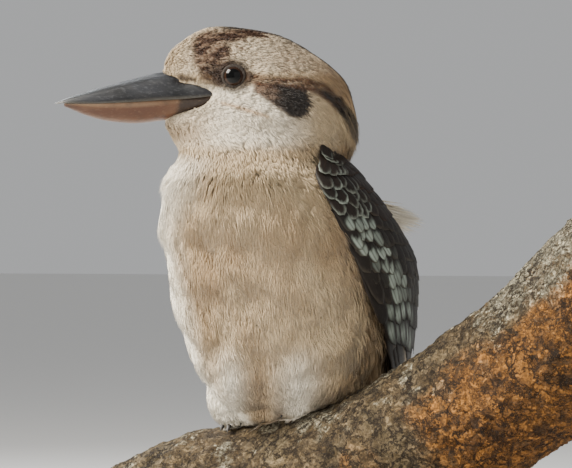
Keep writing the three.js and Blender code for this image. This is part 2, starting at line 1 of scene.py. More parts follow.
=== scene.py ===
"""A life-size laughing kookaburra on a cut length of branch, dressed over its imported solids."""

import logging
import math
from dataclasses import dataclass, field
from enum import Enum, auto
from typing import Callable, Sequence

import bmesh
import bpy
import numpy as np
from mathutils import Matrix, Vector, noise
from mathutils.bvhtree import BVHTree


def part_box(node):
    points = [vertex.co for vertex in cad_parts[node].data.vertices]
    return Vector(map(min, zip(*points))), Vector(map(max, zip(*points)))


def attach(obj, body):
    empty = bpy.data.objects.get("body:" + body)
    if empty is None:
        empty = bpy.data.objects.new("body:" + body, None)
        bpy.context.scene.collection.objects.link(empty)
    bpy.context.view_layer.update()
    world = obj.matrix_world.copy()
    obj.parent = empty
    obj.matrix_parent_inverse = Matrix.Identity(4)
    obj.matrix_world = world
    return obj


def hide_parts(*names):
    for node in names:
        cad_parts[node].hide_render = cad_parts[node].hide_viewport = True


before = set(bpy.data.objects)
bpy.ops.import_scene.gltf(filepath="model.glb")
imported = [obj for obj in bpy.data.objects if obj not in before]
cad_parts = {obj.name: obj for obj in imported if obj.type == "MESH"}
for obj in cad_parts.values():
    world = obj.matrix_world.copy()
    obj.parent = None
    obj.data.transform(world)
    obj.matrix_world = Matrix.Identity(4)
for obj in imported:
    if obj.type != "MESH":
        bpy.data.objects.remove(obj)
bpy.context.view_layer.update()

log = logging.getLogger("kookaburra")
Array = np.ndarray
BMesh = bmesh.types.BMesh
Material = bpy.types.Material
Mesh = bpy.types.Mesh
Pair = tuple[float, float]
Piece = bpy.types.Object
Rng = np.random.Generator
Tint = Callable[[Array, Array], Array]
Triple = tuple[float, float, float]

# Settings of the random fields, the angles and the smoothing below.
SEED = 7
WAVES = 15
GOLDEN_TURN = 2.39996
FULL_TURN = 6.283
SOFT_ROUNDS = 24
CAMERA_RIGHT = (0.682, 0.731)


def smooth(x: Array | float, low: float, high: float) -> Array:
    """Return a smooth step of x from 0 at low to 1 at high."""
    t = np.clip((np.asarray(x, float) - low) / (high - low), 0.0, 1.0)
    return t * t * (3.0 - 2.0 * t)


def bump(x: Array | float, middle: float, spread: float) -> Array:
    """Return a bell curve of x about middle."""
    return np.exp(-(((np.asarray(x, float) - middle) / spread) ** 2))


def mix(a: Array | float, b: Array | float, t: Array | float) -> Array:
    """Return the blend of a and b by t."""
    return a + (b - a) * t


def linear(red: int, green: int, blue: int) -> Array:
    """Return a screen colour of 0 to 255 as linear light."""
    c = np.array([red, green, blue], float) / 255.0
    return np.where(c <= 0.04045, c / 12.92, ((c + 0.055) / 1.055) ** 2.4)


def unit(vectors: Array) -> Array:
    """Return each row of vectors at length one."""
    return vectors / np.maximum(np.linalg.norm(vectors, axis=-1, keepdims=True), 1e-12)


def ripple(points: Array, scale: float, seed: float = 0.0) -> Array:
    """Return a cheap smooth random field made of crossed waves.

    Args:
        points: places, one a row.
        scale: the size of its lumps, in the units of points.
        seed: shifts the field.

    Returns:
        A value of about -1 to 1 for each place.
    """
    rng = np.random.default_rng(int(seed * 1000) + 11)
    total = np.zeros(len(points))
    for reach in (3.1, 1.7):
        ways = unit(rng.normal(size=(3, 3)))
        phase = rng.uniform(0, 6.28, 3)
        points = points + 0.42 * reach * scale * np.sin(points @ ways / (scale * reach) + phase)
    for k in range(WAVES):
        level = 1 - (2 * k + 1) / WAVES
        turn = GOLDEN_TURN * k + rng.uniform(0, 0.6)
        flat = math.sqrt(1 - level * level)
        way = np.array([flat * math.cos(turn), flat * math.sin(turn), level])
        warp = unit(rng.normal(size=3))
        phase = rng.uniform(0, 6.28, 2)
        bend = 0.9 * np.sin(points @ warp / scale * 1.7 + phase[0])
        total += np.sin(points @ way / scale * rng.uniform(1.2, 2.6) + phase[1] + bend)
    return total / 4.8


class Stations:
    """Named sizes at a few stations, read anywhere by a smooth curve through them."""

    def __init__(self, names: Sequence[str], rows: Sequence[Sequence[float]]) -> None:
        """Store the table.

        Args:
            names: what the columns after the first are.
            rows: the station and its sizes, in rising order.
        """
        table = np.array(rows, float)
        self.names = list(names)
        self.at = table[:, 0]
        self.values = table[:, 1:]
        low = np.maximum(np.arange(len(table)) - 1, 0)
        high = np.minimum(np.arange(len(table)) + 1, len(table) - 1)
        self.slopes = (self.values[high] - self.values[low]) / (self.at[high] - self.at[low])[:, None]

    def read(self, at: Array | float) -> dict[str, Array]:
        """Return each named size at the given stations."""
        at = np.clip(np.asarray(at, float), self.at[0], self.at[-1])
        i = np.clip(np.searchsorted(self.at, at, side="right") - 1, 0, len(self.at) - 2)
        span = self.at[i + 1] - self.at[i]
        t = (at - self.at[i]) / span
        found = {}
        for k, name in enumerate(self.names):
            a, b = self.values[i, k], self.values[i + 1, k]
            ma, mb = self.slopes[i, k] * span, self.slopes[i + 1, k] * span
            rise = a * (1 + 2 * t) * (1 - t) ** 2 + ma * t * (1 - t) ** 2
            found[name] = rise + b * t * t * (3 - 2 * t) - mb * t * t * (1 - t)
        return found


@dataclass(frozen=True)
class Stance:
    """How the bird's own frame, in millimetres, sits on the stand, in metres."""

    branch_yaw: float = math.radians(17)
    head_yaw: float = math.radians(38)
    pivot: float = -20.0
    shift: Triple = (-62.661, 7.650, 140.0)

    def to_stand(self, points: Array) -> Array:
        """Return places in the bird's frame as places on the stand."""
        return (self.turn(points) + np.array(self.shift)) / 1000.0

    def turn(self, vectors: Array) -> Array:
        """Return directions in the bird's frame as directions on the stand."""
        c, s = math.cos(-self.branch_yaw), math.sin(-self.branch_yaw)
        return vectors @ np.array([[c, s, 0], [-s, c, 0], [0, 0, 1]])

    def to_bird(self, points: Array) -> Array:
        """Return places on the stand as places in the bird's frame."""
        c, s = math.cos(self.branch_yaw), math.sin(self.branch_yaw)
        return (points * 1000.0 - np.array(self.shift)) @ np.array([[c, s, 0], [-s, c, 0], [0, 0, 1]])

    def head_axes(self) -> tuple[Array, Array]:
        """Return the head's forward and left directions in the bird's frame."""
        c, s = math.cos(self.head_yaw), math.sin(self.head_yaw)
        return np.array([-s, -c, 0.0]), np.array([c, -s, 0.0])

    def to_head(self, points: Array) -> tuple[Array, Array, Array]:
        """Return places in the bird's frame as forward, left and height of the head."""
        forward, left = self.head_axes()
        moved = points - np.array([0.0, self.pivot, 0.0])
        return moved @ forward, moved @ left, points[..., 2]

    def round_body(self, points: Array) -> Array:
        """Return how far round the body places lie, in radians from its front towards its left."""
        return np.arctan2(points[:, 0], -(points[:, 1] - self.pivot))

    def from_head(self, forward: Array, left: Array, height: Array) -> Array:
        """Return places of the head as places in the bird's frame."""
        axis, side = self.head_axes()
        flat = np.asarray(forward)[..., None] * axis + np.asarray(left)[..., None] * side
        flat = flat + np.array([0.0, self.pivot, 0.0])
        flat[..., 2] = height
        return flat


STANCE = Stance()


# Shader maths.
class Socket:
    """A shader socket that takes part in Python expressions."""

    def __init__(self, shader: "Shader", link: bpy.types.NodeSocket) -> None:
        """Wrap an output socket of a node."""
        self.shader = shader
        self.link = link

    def _math(self, operation: str, *values: "Socket | float") -> "Socket":
        """Add a Math node and return its result."""
        return self.shader.node("ShaderNodeMath", {"operation": operation}, *values)

    def __add__(self, other: "Socket | float") -> "Socket":
        """Add."""
        return self._math("ADD", self, other)

    def __radd__(self, other: float) -> "Socket":
        """Add from the left."""
        return self._math("ADD", other, self)

    def __sub__(self, other: "Socket | float") -> "Socket":
        """Subtract."""
        return self._math("SUBTRACT", self, other)

    def __rsub__(self, other: float) -> "Socket":
        """Subtract from a number."""
        return self._math("SUBTRACT", other, self)

    def __mul__(self, other: "Socket | float") -> "Socket":
        """Multiply."""
        return self._math("MULTIPLY", self, other)

    def __rmul__(self, other: float) -> "Socket":
        """Multiply from the left."""
        return self._math("MULTIPLY", other, self)

    def __truediv__(self, other: "Socket | float") -> "Socket":
        """Divide."""
        return self._math("DIVIDE", self, other)

    def sine(self) -> "Socket":
        """Return the sine."""
        return self._math("SINE", self)

    def absolute(self) -> "Socket":
        """Return the size without its sign."""
        return self._math("ABSOLUTE", self)

    def step(self, low: float, high: float) -> "Socket":
        """Return a smooth step from 0 at low to 1 at high."""
        settings = {"interpolation_type": "SMOOTHSTEP"}
        return self.shader.node("ShaderNodeMapRange", settings, self, low, high, 0.0, 1.0)

    def part(self, axis: str) -> "Socket":
        """Return one part of a vector, by its letter."""
        return self.shader.node("ShaderNodeSeparateXYZ", {}, self, out=axis)


class Shader:
    """A material's node tree, built from expressions."""

    def __init__(self, name: str) -> None:
        """Start an empty material with a Principled shader."""
        self.material = bpy.data.materials.new(name)
        self.material.use_nodes = True
        self.tree = self.material.node_tree
        self.surface = self.tree.nodes["Principled BSDF"]

    def node(
        self, kind: str, settings: dict, *values: object, out: str | int = 0, **named: object
    ) -> Socket:
        """Add a node of any kind.

        Args:
            kind: the node's type.
            settings: its properties, set first.
            values: links or values of its first inputs.
            out: the output that is returned.
            named: links or values of inputs by name, with _ for a space.

        Returns:
            The wrapped output.
        """
        made = self.tree.nodes.new(kind)
        for key, value in settings.items():
            setattr(made, key, value)
        for i, value in enumerate(values):
            self._feed(made.inputs[i], value)
        for key, value in named.items():
            self._feed(made.inputs[key.replace("_", " ")], value)
        return Socket(self, made.outputs[out])

    def _feed(self, socket: bpy.types.NodeSocket, value: object) -> None:
        """Link or set one input."""
        if isinstance(value, Socket):
            self.tree.links.new(value.link, socket)
        elif value is not None:
            if socket.type == "RGBA" and len(value) == 3:
                value = (*value, 1.0)
            plain = isinstance(value, (int, float))
            socket.default_value = value if plain else tuple(float(v) for v in value)

    def blend(self, a: object, b: object, amount: object) -> Socket:
        """Return a mix of two colours by amount."""
        made = self.tree.nodes.new("ShaderNodeMix")
        made.data_type = "RGBA"
        made.clamp_factor = True
        for index, value in ((0, amount), (6, a), (7, b)):
            self._feed(made.inputs[index], value)
        return Socket(self, made.outputs[2])

    def place(self, scale: Sequence[float] = (1, 1, 1), turn: Sequence[float] = (0, 0, 0)) -> Socket:
        """Return Object coordinates, in metres, turned and scaled."""
        at = self.node("ShaderNodeTexCoord", {}, out="Object")
        return self.node("ShaderNodeMapping", {}, at, Rotation=turn, Scale=scale)

    def grain(self, at: Socket, scale: float, detail: float = 3.0, rough: float = 0.55) -> Socket:
        """Return noise at a scale in lumps a metre."""
        return self.node("ShaderNodeTexNoise", {}, Vector=at, Scale=scale, Detail=detail, Roughness=rough)

    def attribute(self, name: str, out: str = "Color") -> Socket:
        """Return a colour or value stored on the mesh."""
        return self.node("ShaderNodeAttribute", {"attribute_name": name}, out=out)

    def bumped(self, height: Socket, depth: float, distance: float = 0.001) -> Socket:
        """Return a normal bent by a height."""
        return self.node("ShaderNodeBump", {}, Strength=depth, Distance=distance, Height=height)

    def finish(self, **inputs: object) -> Material:
        """Set the Principled inputs by name and return the material."""
        for key, value in inputs.items():
            self._feed(self.surface.inputs[key.replace("_", " ")], value)
        return self.material


@dataclass(frozen=True)
class SoftFeather:
    """Small soft feathers and down: colour from the mesh, matt with a faint sheen."""

    name: str = "soft_feather"
    roughness: float = 0.82

    def material(self) -> Material:
        """Return the finish."""
        s = Shader(self.name)
        colour = s.attribute("plumage")
        mottle = s.grain(s.place(), 900.0, 2.0)
        colour = s.blend(colour, s.blend(colour, (0.30, 0.24, 0.18), 0.35), mottle.step(0.52, 0.72) * 0.15)
        return s.finish(
            Base_Color=colour,
            Roughness=self.roughness,
            Specular_IOR_Level=0.15,
            Sheen_Weight=0.12,
            Sheen_Roughness=0.5,
        )


@dataclass(frozen=True)
class VaneFeather:
    """Flight feathers and coverts: barbs run out from the shaft at a slant."""

    name: str = "vane_feather"
    barbs: float = 46.0
    roughness: float = 0.56

    def material(self) -> Material:
        """Return the finish."""
        s = Shader(self.name)
        lie = s.node("ShaderNodeUVMap", {"uv_map": "Lie"})
        across = (lie.part("X") - 0.5).absolute()
        run = lie.part("Y")
        wander = s.grain(s.place(), 260.0, 2.0)
        barb = ((run * self.barbs - across * (self.barbs * 0.55) + wander * 3.0) * FULL_TURN).sine()
        shaft = 1 - across.step(0.008, 0.03)
        height = barb * 0.35 + shaft * 1.6
        colour = s.attribute("plumage")
        streak = s.grain(s.place(), 1500.0, 2.0)
        wear = barb.step(0.2, 1.0) * 0.05 + streak.step(0.6, 0.8) * 0.10
        worn = s.blend(colour, (0.30, 0.25, 0.19), wear)
        worn = s.blend(worn, (0.010, 0.006, 0.004), shaft * 0.55)
        return s.finish(
            Base_Color=worn,
            Roughness=self.roughness,
            Specular_IOR_Level=0.25,
            Normal=s.bumped(height, 0.35, 0.0002),
        )


@dataclass(frozen=True)
class Skin:
    """The skin under the coat, painted as the coat is so that no gap shows."""

    name: str = "skin"

    def material(self) -> Material:
        """Return the finish."""
        s = Shader(self.name)
        down = s.grain(s.place(), 1400.0, 3.0)
        colour = s.blend(s.attribute("plumage"), (0.16, 0.11, 0.08), down * 0.12)
        relief = s.bumped(down, 0.5, 0.0006)
        return s.finish(Base_Color=colour, Roughness=0.9, Specular_IOR_Level=0.1, Normal=relief)


@dataclass(frozen=True)
class BillHorn:
    """Horn of the bill, with colour from the mesh, growth lines and fine scuffs."""

    name: str
    scuff: Triple
    roughness: float

    def material(self) -> Material:
        """Return the finish."""
        s = Shader(self.name)
        turn = (0.0, 0.0, -(math.radians(90) - STANCE.head_yaw - STANCE.branch_yaw))
        lengthwise = s.place((0.10, 1.0, 1.0), turn)
        fine = s.grain(lengthwise, 2600.0, 3.0)
        lines = s.grain(lengthwise, 900.0, 3.0, 0.6)
        cloud = s.grain(s.place(), 140.0, 4.0, 0.6)
        colour = s.attribute("plumage")
        colour = s.blend(colour, self.scuff, lines.step(0.52, 0.74) * 0.16 + fine.step(0.62, 0.74) * 0.16)
        colour = s.blend(colour, (0.02, 0.018, 0.017), cloud.step(0.48, 0.75) * 0.35)
        rough = cloud * 0.25 + (self.roughness - 0.10) + fine.step(0.55, 0.7) * 0.12
        return s.finish(
            Base_Color=colour,
            Roughness=rough,
            Specular_IOR_Level=0.32,
            Normal=s.bumped(lines * 0.7 + fine * 0.4, 0.45, 0.0004),
        )


@dataclass(frozen=True)
class EyeGlass:
    """The wet eye: a black pupil in a dark brown iris, seen along its own axis."""

    name: str
    centre: Triple
    axis: Triple
    radius: float

    def material(self) -> Material:
        """Return the finish."""
        s = Shader(self.name)
        at = s.node("ShaderNodeTexCoord", {}, out="Object")
        arm = s.node("ShaderNodeVectorMath", {"operation": "SUBTRACT"}, at, self.centre)
        along = s.node("ShaderNodeVectorMath", {"operation": "DOT_PRODUCT"}, arm, self.axis, out="Value")
        reach = along / self.radius
        fibres = s.grain(at, 3000.0, 2.0)
        iris = s.blend((0.010, 0.005, 0.003), (0.032, 0.015, 0.008), fibres)
        ringed = s.blend((0.02, 0.012, 0.008), iris, reach.step(0.58, 0.66))
        colour = s.blend(ringed, (0.002, 0.002, 0.002), reach.step(0.85, 0.88))
        return s.finish(
            Base_Color=colour, Roughness=0.05, Specular_IOR_Level=0.10, Coat_Weight=0.12, Coat_Roughness=0.02
        )


@dataclass(frozen=True)
class BareSkin:
    """Scaly or beaded bare skin, of feet and eyelids."""

    name: str
    light: Triple
    dark: Triple
    scale: float

    def material(self) -> Material:
        """Return the finish."""
        s = Shader(self.name)
        first = {"feature": "F1"}
        cells = s.node("ShaderNodeTexVoronoi", first, Vector=s.place(), Scale=self.scale, Randomness=0.7)
        cloud = s.grain(s.place(), self.scale * 0.25, 3.0)
        crease = cells.step(0.25, 0.75)
        colour = s.blend(self.light, self.dark, crease * 0.7 + cloud.step(0.45, 0.7) * 0.4)
        return s.finish(
            Base_Color=colour,
            Roughness=cloud * 0.3 + 0.5,
            Specular_IOR_Level=0.2,
            Normal=s.bumped(1 - crease, 0.6, 0.0003),
        )


@dataclass(frozen=True)
class ClawHorn:
    """Dark polished horn of the claws."""

    name: str = "claw_horn"

    def material(self) -> Material:
        """Return the finish."""
        s = Shader(self.name)
        grain = s.grain(s.place((1, 1, 0.4)), 1800.0, 3.0)
        colour = s.blend((0.034, 0.031, 0.029), (0.16, 0.145, 0.13), grain.step(0.40, 0.75) * 0.8)
        relief = s.bumped(grain, 0.3, 0.0002)
        return s.finish(Base_Color=colour, Roughness=grain * 0.25 + 0.38, Normal=relief)


@dataclass(frozen=True)
class Bark:
    """Rough bark: cracks, pale lichen and warm stains come from the mesh, fine grain from nodes."""

    name: str = "bark"

    def material(self) -> Material:
        """Return the finish."""
        s = Shader(self.name)
        at = s.place()
        marks = s.attribute("bark")
        crack, lichen, warm = marks.part("X"), marks.part("Y"), marks.part("Z")
        coarse = s.grain(at, 85.0, 7.0, 0.68)
        patch = s.grain(at, 30.0, 4.0, 0.6)
        fine = s.grain(at, 620.0, 5.0, 0.7)
        speck = s.grain(at, 1500.0, 3.0, 0.6)
        sway = s.node(
            "ShaderNodeTexNoise", {}, Vector=at, Scale=75.0, Detail=7.0, Roughness=0.74, out="Color"
        )
        bent = s.node("ShaderNodeVectorMath", {"operation": "MULTIPLY_ADD"}, sway, (0.030, 0.030, 0.030), at)
        long = s.node("ShaderNodeMapping", {}, bent, Scale=(0.55, 1.0, 0.85))
        edges = {"feature": "DISTANCE_TO_EDGE"}
        wide = s.node("ShaderNodeTexVoronoi", edges, Vector=long, Scale=120.0)
        narrow = s.node("ShaderNodeTexVoronoi", edges, Vector=long, Scale=330.0)
        plate = s.node("ShaderNodeTexVoronoi", {}, Vector=long, Scale=330.0, out="Color").part("X")
        broken = patch.step(0.38, 0.60)
        fissure = (1 - wide.step(0.01, 0.10)) * (0.35 + broken * 0.65)
        fissure = fissure + (1 - narrow.step(0.0, 0.14)) * (0.60 - broken * 0.30)
        base = s.blend((0.050, 0.030, 0.012), (0.245, 0.165, 0.076), coarse.step(0.40, 0.60))
        base = s.blend(base, (0.135, 0.112, 0.058), patch.step(0.45, 0.65) * 0.50)
        base = s.blend(base, s.blend((0.030, 0.019, 0.009), (0.330, 0.250, 0.150), plate), 0.42)
        heat = (coarse * 0.6 + plate * 0.4).step(0.30, 0.68)
        rust = s.blend((0.120, 0.044, 0.010), (0.490, 0.200, 0.036), heat)
        base = s.blend(base, rust, (warm * (coarse * 1.2 + plate * 0.5)).step(0.15, 0.85) * 0.85)
        pale = s.blend((0.31, 0.28, 0.19), (0.60, 0.55, 0.40), fine)
        base = s.blend(base, pale, (lichen * (plate + 0.35)).step(0.14, 0.60) * fine.step(0.36, 0.54) * 0.85)
        base = s.blend(base, (0.026, 0.018, 0.012), crack.step(0.25, 0.95) * 0.6)
        base = s.blend(base, (0.022, 0.015, 0.010), fissure.step(0.12, 0.85) * 0.88)
        base = s.blend(base, (0.50, 0.47, 0.39), speck.step(0.62, 0.74) * 0.45)
        base = s.blend(base, (0.040, 0.028, 0.020), (1 - fine.step(0.34, 0.50)) * 0.70)
        height = fine * 0.55 + speck * 0.25 + coarse * 0.5 + plate * 0.25 - fissure * 0.9
        return s.finish(
            Base_Color=base,
            Roughness=0.95 - fine * 0.12,
            Specular_IOR_Level=0.2,
            Normal=s.bumped(height, 1.0, 0.0022),
        )


@dataclass(frozen=True)
class CutWood:
    """Sawn or planed wood with rings or grain."""

    name: str
    light: Triple
    dark: Triple
    stretch: Triple
    rings: float
    roughness: float
    coat: float = 0.0

    def material(self) -> Material:
        """Return the finish."""
        s = Shader(self.name)
        at = s.place(self.stretch)
        wander = s.grain(at, 9.0, 4.0)
        pore = s.grain(s.place((self.stretch[0] * 0.5, 1, 1)), 900.0, 3.0)
        wave = ((at.part("Y") * self.rings + wander * 9.0) * FULL_TURN).sine() * 0.5 + 0.5
        colour = s.blend(self.light, self.dark, wave * 0.65 + pore.step(0.5, 0.75) * 0.4)
        return s.finish(
            Base_Color=colour,
            Roughness=pore * 0.2 + self.roughness,
            Coat_Weight=self.coat,
            Coat_Roughness=0.25,
            Normal=s.bumped(wave * 0.3 + pore * 0.5, 0.25, 0.0004),
        )


@dataclass(frozen=True)
class SatinSteel:
    """Brushed steel of the rods."""

    name: str = "satin_steel"

    def material(self) -> Material:
        """Return the finish."""
        s = Shader(self.name)
        brushed = s.grain(s.place((1, 1, 0.02)), 3000.0, 2.0)
        cloud = s.grain(s.place(), 60.0, 3.0)
        colour = s.blend((0.34, 0.34, 0.35), (0.50, 0.50, 0.51), brushed)
        return s.finish(
            Base_Color=colour,
            Metallic=1.0,
            Roughness=brushed * 0.15 + cloud * 0.12 + 0.22,
            Normal=s.bumped(brushed, 0.12, 0.0001),
        )


# Mesh helpers.
def read_mesh(piece: Piece) -> tuple[Array, Array, Array]:
    """Return a mesh's points, point normals and triangles."""
    mesh = piece.data
    mesh.calc_loop_triangles()
    points = np.empty(len(mesh.vertices) * 3)
    normals = np.empty(len(mesh.vertices) * 3)
    triangles = np.empty(len(mesh.loop_triangles) * 3, int)
    mesh.vertices.foreach_get("co", points)
    mesh.vertices.foreach_get("normal", normals)
    mesh.loop_triangles.foreach_get("vertices", triangles)
    return points.reshape(-1, 3), normals.reshape(-1, 3), triangles.reshape(-1, 3)


def write_points(piece: Piece, points: Array) -> None:
    """Move a mesh's points."""
    piece.data.vertices.foreach_set("co", np.asarray(points, np.float32).ravel())
    piece.data.update()


def paint(piece: Piece, colours: Array, name: str = "plumage") -> None:
    """Store a linear colour on each point of a mesh."""
    layer = piece.data.color_attributes.new(name, "FLOAT_COLOR", "POINT")
    full = np.ones((len(colours), 4), np.float32)
    full[:, :3] = np.clip(colours, 0.0, 1.0)
    layer.data.foreach_set("color", full.ravel())


def from_bmesh(name: str, work: BMesh) -> Mesh:
    """Return a bmesh as a new mesh, and free it."""
    mesh = bpy.data.meshes.new(name)
    work.to_mesh(mesh)
    work.free()
    return mesh


def in_scene(name: str, data: bpy.types.ID) -> Piece:
    """Return a new object in the scene."""
    made = bpy.data.objects.new(name, data)
    bpy.context.scene.collection.objects.link(made)
    return made


def add_piece(name: str, mesh: Mesh, material: Material) -> Piece:
    """Put a mesh in the scene as a piece that rides with the bird.

    Args:
        name: the piece's name.
        mesh: its shape, with its place in it.
        material: its finish.

    Returns:
        The new object.
    """
    piece = in_scene(name, mesh)
    mesh.materials.clear()
    mesh.materials.append(material)
    mesh.polygons.foreach_set("use_smooth", [True] * len(mesh.polygons))
    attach(piece, "root")
    log.info("%s: %d faces", name, len(mesh.polygons))
    return piece


def mesh_from(name: str, points: Array, *kinds: Array) -> Mesh:
    """Return a mesh from an array of points and one array for each kind of face, such as quads."""
    mesh = bpy.data.meshes.new(name)
    mesh.vertices.add(len(points))
    mesh.vertices.foreach_set("co", np.asarray(points, np.float32).ravel())
    corners = np.concatenate([faces.ravel() for faces in kinds]).astype(np.int32)
    sizes = np.concatenate([np.full(len(faces), faces.shape[1]) for faces in kinds])
    mesh.loops.add(len(corners))
    mesh.loops.foreach_set("vertex_index", corners)
    mesh.polygons.add(len(sizes))
    mesh.polygons.foreach_set("loop_start", (np.cumsum(sizes) - sizes).astype(np.int32))
    mesh.update(calc_edges=True)
    mesh.validate()
    return mesh


def add_map(mesh: Mesh, name: str, places: Array) -> None:
    """Add a UV map from one place for each point."""
    corners = np.empty(len(mesh.loops), int)
    mesh.loops.foreach_get("vertex_index", corners)
    layer = mesh.uv_layers.new(name=name)
    layer.data.foreach_set("uv", np.asarray(places, np.float32)[corners].ravel())


def merged_copy(nodes: Sequence[str]) -> BMesh:
    """Return the named CAD nodes' shapes in one bmesh, with their loose triangles joined."""
    made = bmesh.new()
    for node in nodes:
        made.from_mesh(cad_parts[node].data)
    bmesh.ops.remove_doubles(made, verts=made.verts, dist=1e-6)
    return made


def remeshed(
    name: str,
    source: BMesh,
    voxel: float,
    rounds: int,
    soft: Callable[[Vector], bool] | None = None,
) -> Mesh:
    """Return a bmesh rebuilt as one even closed skin.

    Args:
        name: the mesh's name.
        source: closed shapes, which may be several; it is freed.
        voxel: the size of the new faces, in metres.
        rounds: how often it is smoothed.
        soft: tells which places are smoothed much more, so that no facet of the solid shows.

    Returns:
        The new mesh.
    """
    rough = from_bmesh(f"{name}_rough", source)
    carrier = in_scene(f"{name}_rough", rough)
    change = carrier.modifiers.new("even", "REMESH")
    change.mode = "VOXEL"
    change.voxel_size = voxel
    even = bpy.data.meshes.new_from_object(carrier.evaluated_get(bpy.context.evaluated_depsgraph_get()))
    bpy.data.objects.remove(carrier)
    bpy.data.meshes.remove(rough)
    work = bmesh.new()
    work.from_mesh(even)
    axes = {"use_axis_x": True, "use_axis_y": True, "use_axis_z": True}
    for _ in range(rounds):
        bmesh.ops.smooth_vert(work, verts=work.verts, factor=0.5, **axes)
    if soft is not None:
        chosen = [point for point in work.verts if soft(point.co)]
        for _ in range(SOFT_ROUNDS):
            bmesh.ops.smooth_vert(work, verts=chosen, factor=0.5, **axes)
    keep_largest(work)
    work.to_mesh(even)
    work.free()
    even.name = name
    return even


def keep_largest(work: BMesh) -> None:
    """Delete all but the piece of a bmesh with the most points."""
    left = set(work.verts)
    pieces = []
    while left:
        grown = [left.pop()]
        piece = list(grown)
        while grown:
            point = grown.pop()
            for edge in point.link_edges:
                other = edge.other_vert(point)
                if other in left:
                    left.remove(other)
                    grown.append(other)
                    piece.append(other)
        pieces.append(piece)
    pieces.sort(key=len)
    loose = [point for piece in pieces[:-1] for point in piece]
    bmesh.ops.delete(work, geom=loose, context="VERTS")


def loft(name: str, rings: Sequence[Array], close: bool = True) -> Mesh:
    """Return a tube bridged through rings of points.

    Args:
        name: the mesh's name.
        rings: closed rings with the same count of points, in metres.
        close: whether its two ends are filled.

    Returns:
        The mesh, faces outwards.
    """
    work = bmesh.new()
    loop = list(bmesh.ops.create_circle(work, segments=len(rings[0]), radius=1.0)["verts"])
    edges = list(work.edges)
    ends = [list(loop)]
    for point, place in zip(loop, rings[0]):
        point.co = place
    for ring in rings[1:]:
        grown = bmesh.ops.extrude_edge_only(work, edges=edges)["geom"]
        fresh = {item for item in grown if isinstance(item, bmesh.types.BMVert)}
        edges = [item for item in grown if isinstance(item, bmesh.types.BMEdge) and set(item.verts) <= fresh]
        loop = [next(e.other_vert(v) for e in v.link_edges if e.other_vert(v) in fresh) for v in loop]
        for point, place in zip(loop, ring):
            point.co = place
    ends.append(list(loop))
    if close:
        for end in ends:
            made = bmesh.ops.contextual_create(work, geom=end)["faces"]
            bmesh.ops.poke(work, faces=made)
    bmesh.ops.remove_doubles(work, verts=work.verts, dist=1e-7)
    bmesh.ops.recalc_face_normals(work, faces=work.faces)
    return from_bmesh(name, work)


@dataclass
class Clearance:
    """Keeps feathers and skin out of a hard piece."""

    piece: Piece
    search: float = 0.04

    def __post_init__(self) -> None:
        """Make the tree of the piece's faces."""
        work = bmesh.new()
        work.from_mesh(self.piece.data)
        self.tree = BVHTree.FromBMesh(work)
        work.free()

    def lift(self, points: Array, gap: float) -> Array:
        """Return places on the stand, those inside the piece or close to it moved out.

        Args:
            points: places in metres.
            gap: the least distance to the piece, in metres.

        Returns:
            The places, moved where they have to be.
        """
        moved = np.array(points, float)
        for i, place in enumerate(moved):
            near, normal, _, _ = self.tree.find_nearest(Vector(place), self.search)
            if near is not None and (Vector(place) - near).dot(normal) < gap:
                moved[i] = near + normal * gap
        return moved


# Markings.
class Tone(Enum):
    """Colours of the bird, as screen colours."""

    CREAM = (190, 170, 138)
    WHITE = (240, 232, 215)
    BUFF = (164, 128, 86)
    SMOKE = (132, 105, 74)
    UMBER = (82, 51, 27)
    RUFOUS = (84, 47, 20)
    DARK = (44, 27, 15)
    BLACK = (22, 14, 9)
    SKY = (164, 176, 164)
    SLATE = (92, 106, 110)
    GREY = (128, 120, 104)
    HORN = (46, 48, 54)
    BLACK_HORN = (12, 12, 13)
    BROWN_HORN = (70, 38, 21)

    @property
    def light(self) -> Array:
        """Return the colour as linear light."""
        return linear(*self.value)


@dataclass
class Paint:
    """The colours of many places, laid one over another."""

    colour: Array

    @classmethod
    def of(cls, tone: Tone, count: int, share: float = 1.0) -> "Paint":
        """Start with one tone, or a darker share of it, at count places."""
        return cls(np.tile(tone.light * share, (count, 1)))

    def lay(self, tone: Tone, amount: Array | float) -> None:
        """Lay a tone over the colours by an amount of 0 to 1 for each."""
        share = np.broadcast_to(np.clip(amount, 0.0, 1.0), len(self.colour))[:, None]
        self.colour = self.colour + (tone.light - self.colour) * share


def near_path(x: Array, y: Array, path: Sequence[Triple], soft: float) -> Array:
    """Return how far places lie inside a band about a path.

    Args:
        x: first coordinate of each place.
        y: second coordinate of each place.
        path: points of the path and the band's half width there.
        soft: width of the band's soft edge.

    Returns:
        1 inside, falling to 0 outside.
    """
    best = np.full(np.shape(x), 1e9)
    for (ax, ay, ar), (bx, by, br) in zip(path, path[1:]):
        dx, dy = bx - ax, by - ay
        t = np.clip(((x - ax) * dx + (y - ay) * dy) / (dx * dx + dy * dy), 0, 1)
        best = np.minimum(best, np.hypot(x - ax - t * dx, y - ay - t * dy) - (ar + (br - ar) * t))
    return 1.0 - smooth(best, -soft, soft)


@dataclass(frozen=True)
class Eyes:
    """Where the eyes sit in the head, in millimetres."""

    forward: float = 21.0
    height: float = 204.8
    radius: float = 8.2
    sink: float = 3.0
    lid: float = 6.1

    def surface(self, side: int) -> tuple[Array, Array]:
        """Return the middle of an eye's opening and the way it faces, in the bird's frame."""
        sizes = BODY.read(self.height)
        front, back = sizes["front"], sizes["back"]
        cosine = (self.forward - (front - back) / 2) / ((front + back) / 2)
        left = (sizes["width"] + face(self.forward, self.height)) * math.sqrt(1 - cosine**2)
        left = left * (1 - sizes["taper"] * cosine)
        spot = STANCE.from_head(np.array(self.forward), np.array(side * left), np.array(self.height))
        axis, out = STANCE.head_axes()
        return spot, unit(0.2 * axis + side * out + np.array([0, 0, 0.06]))


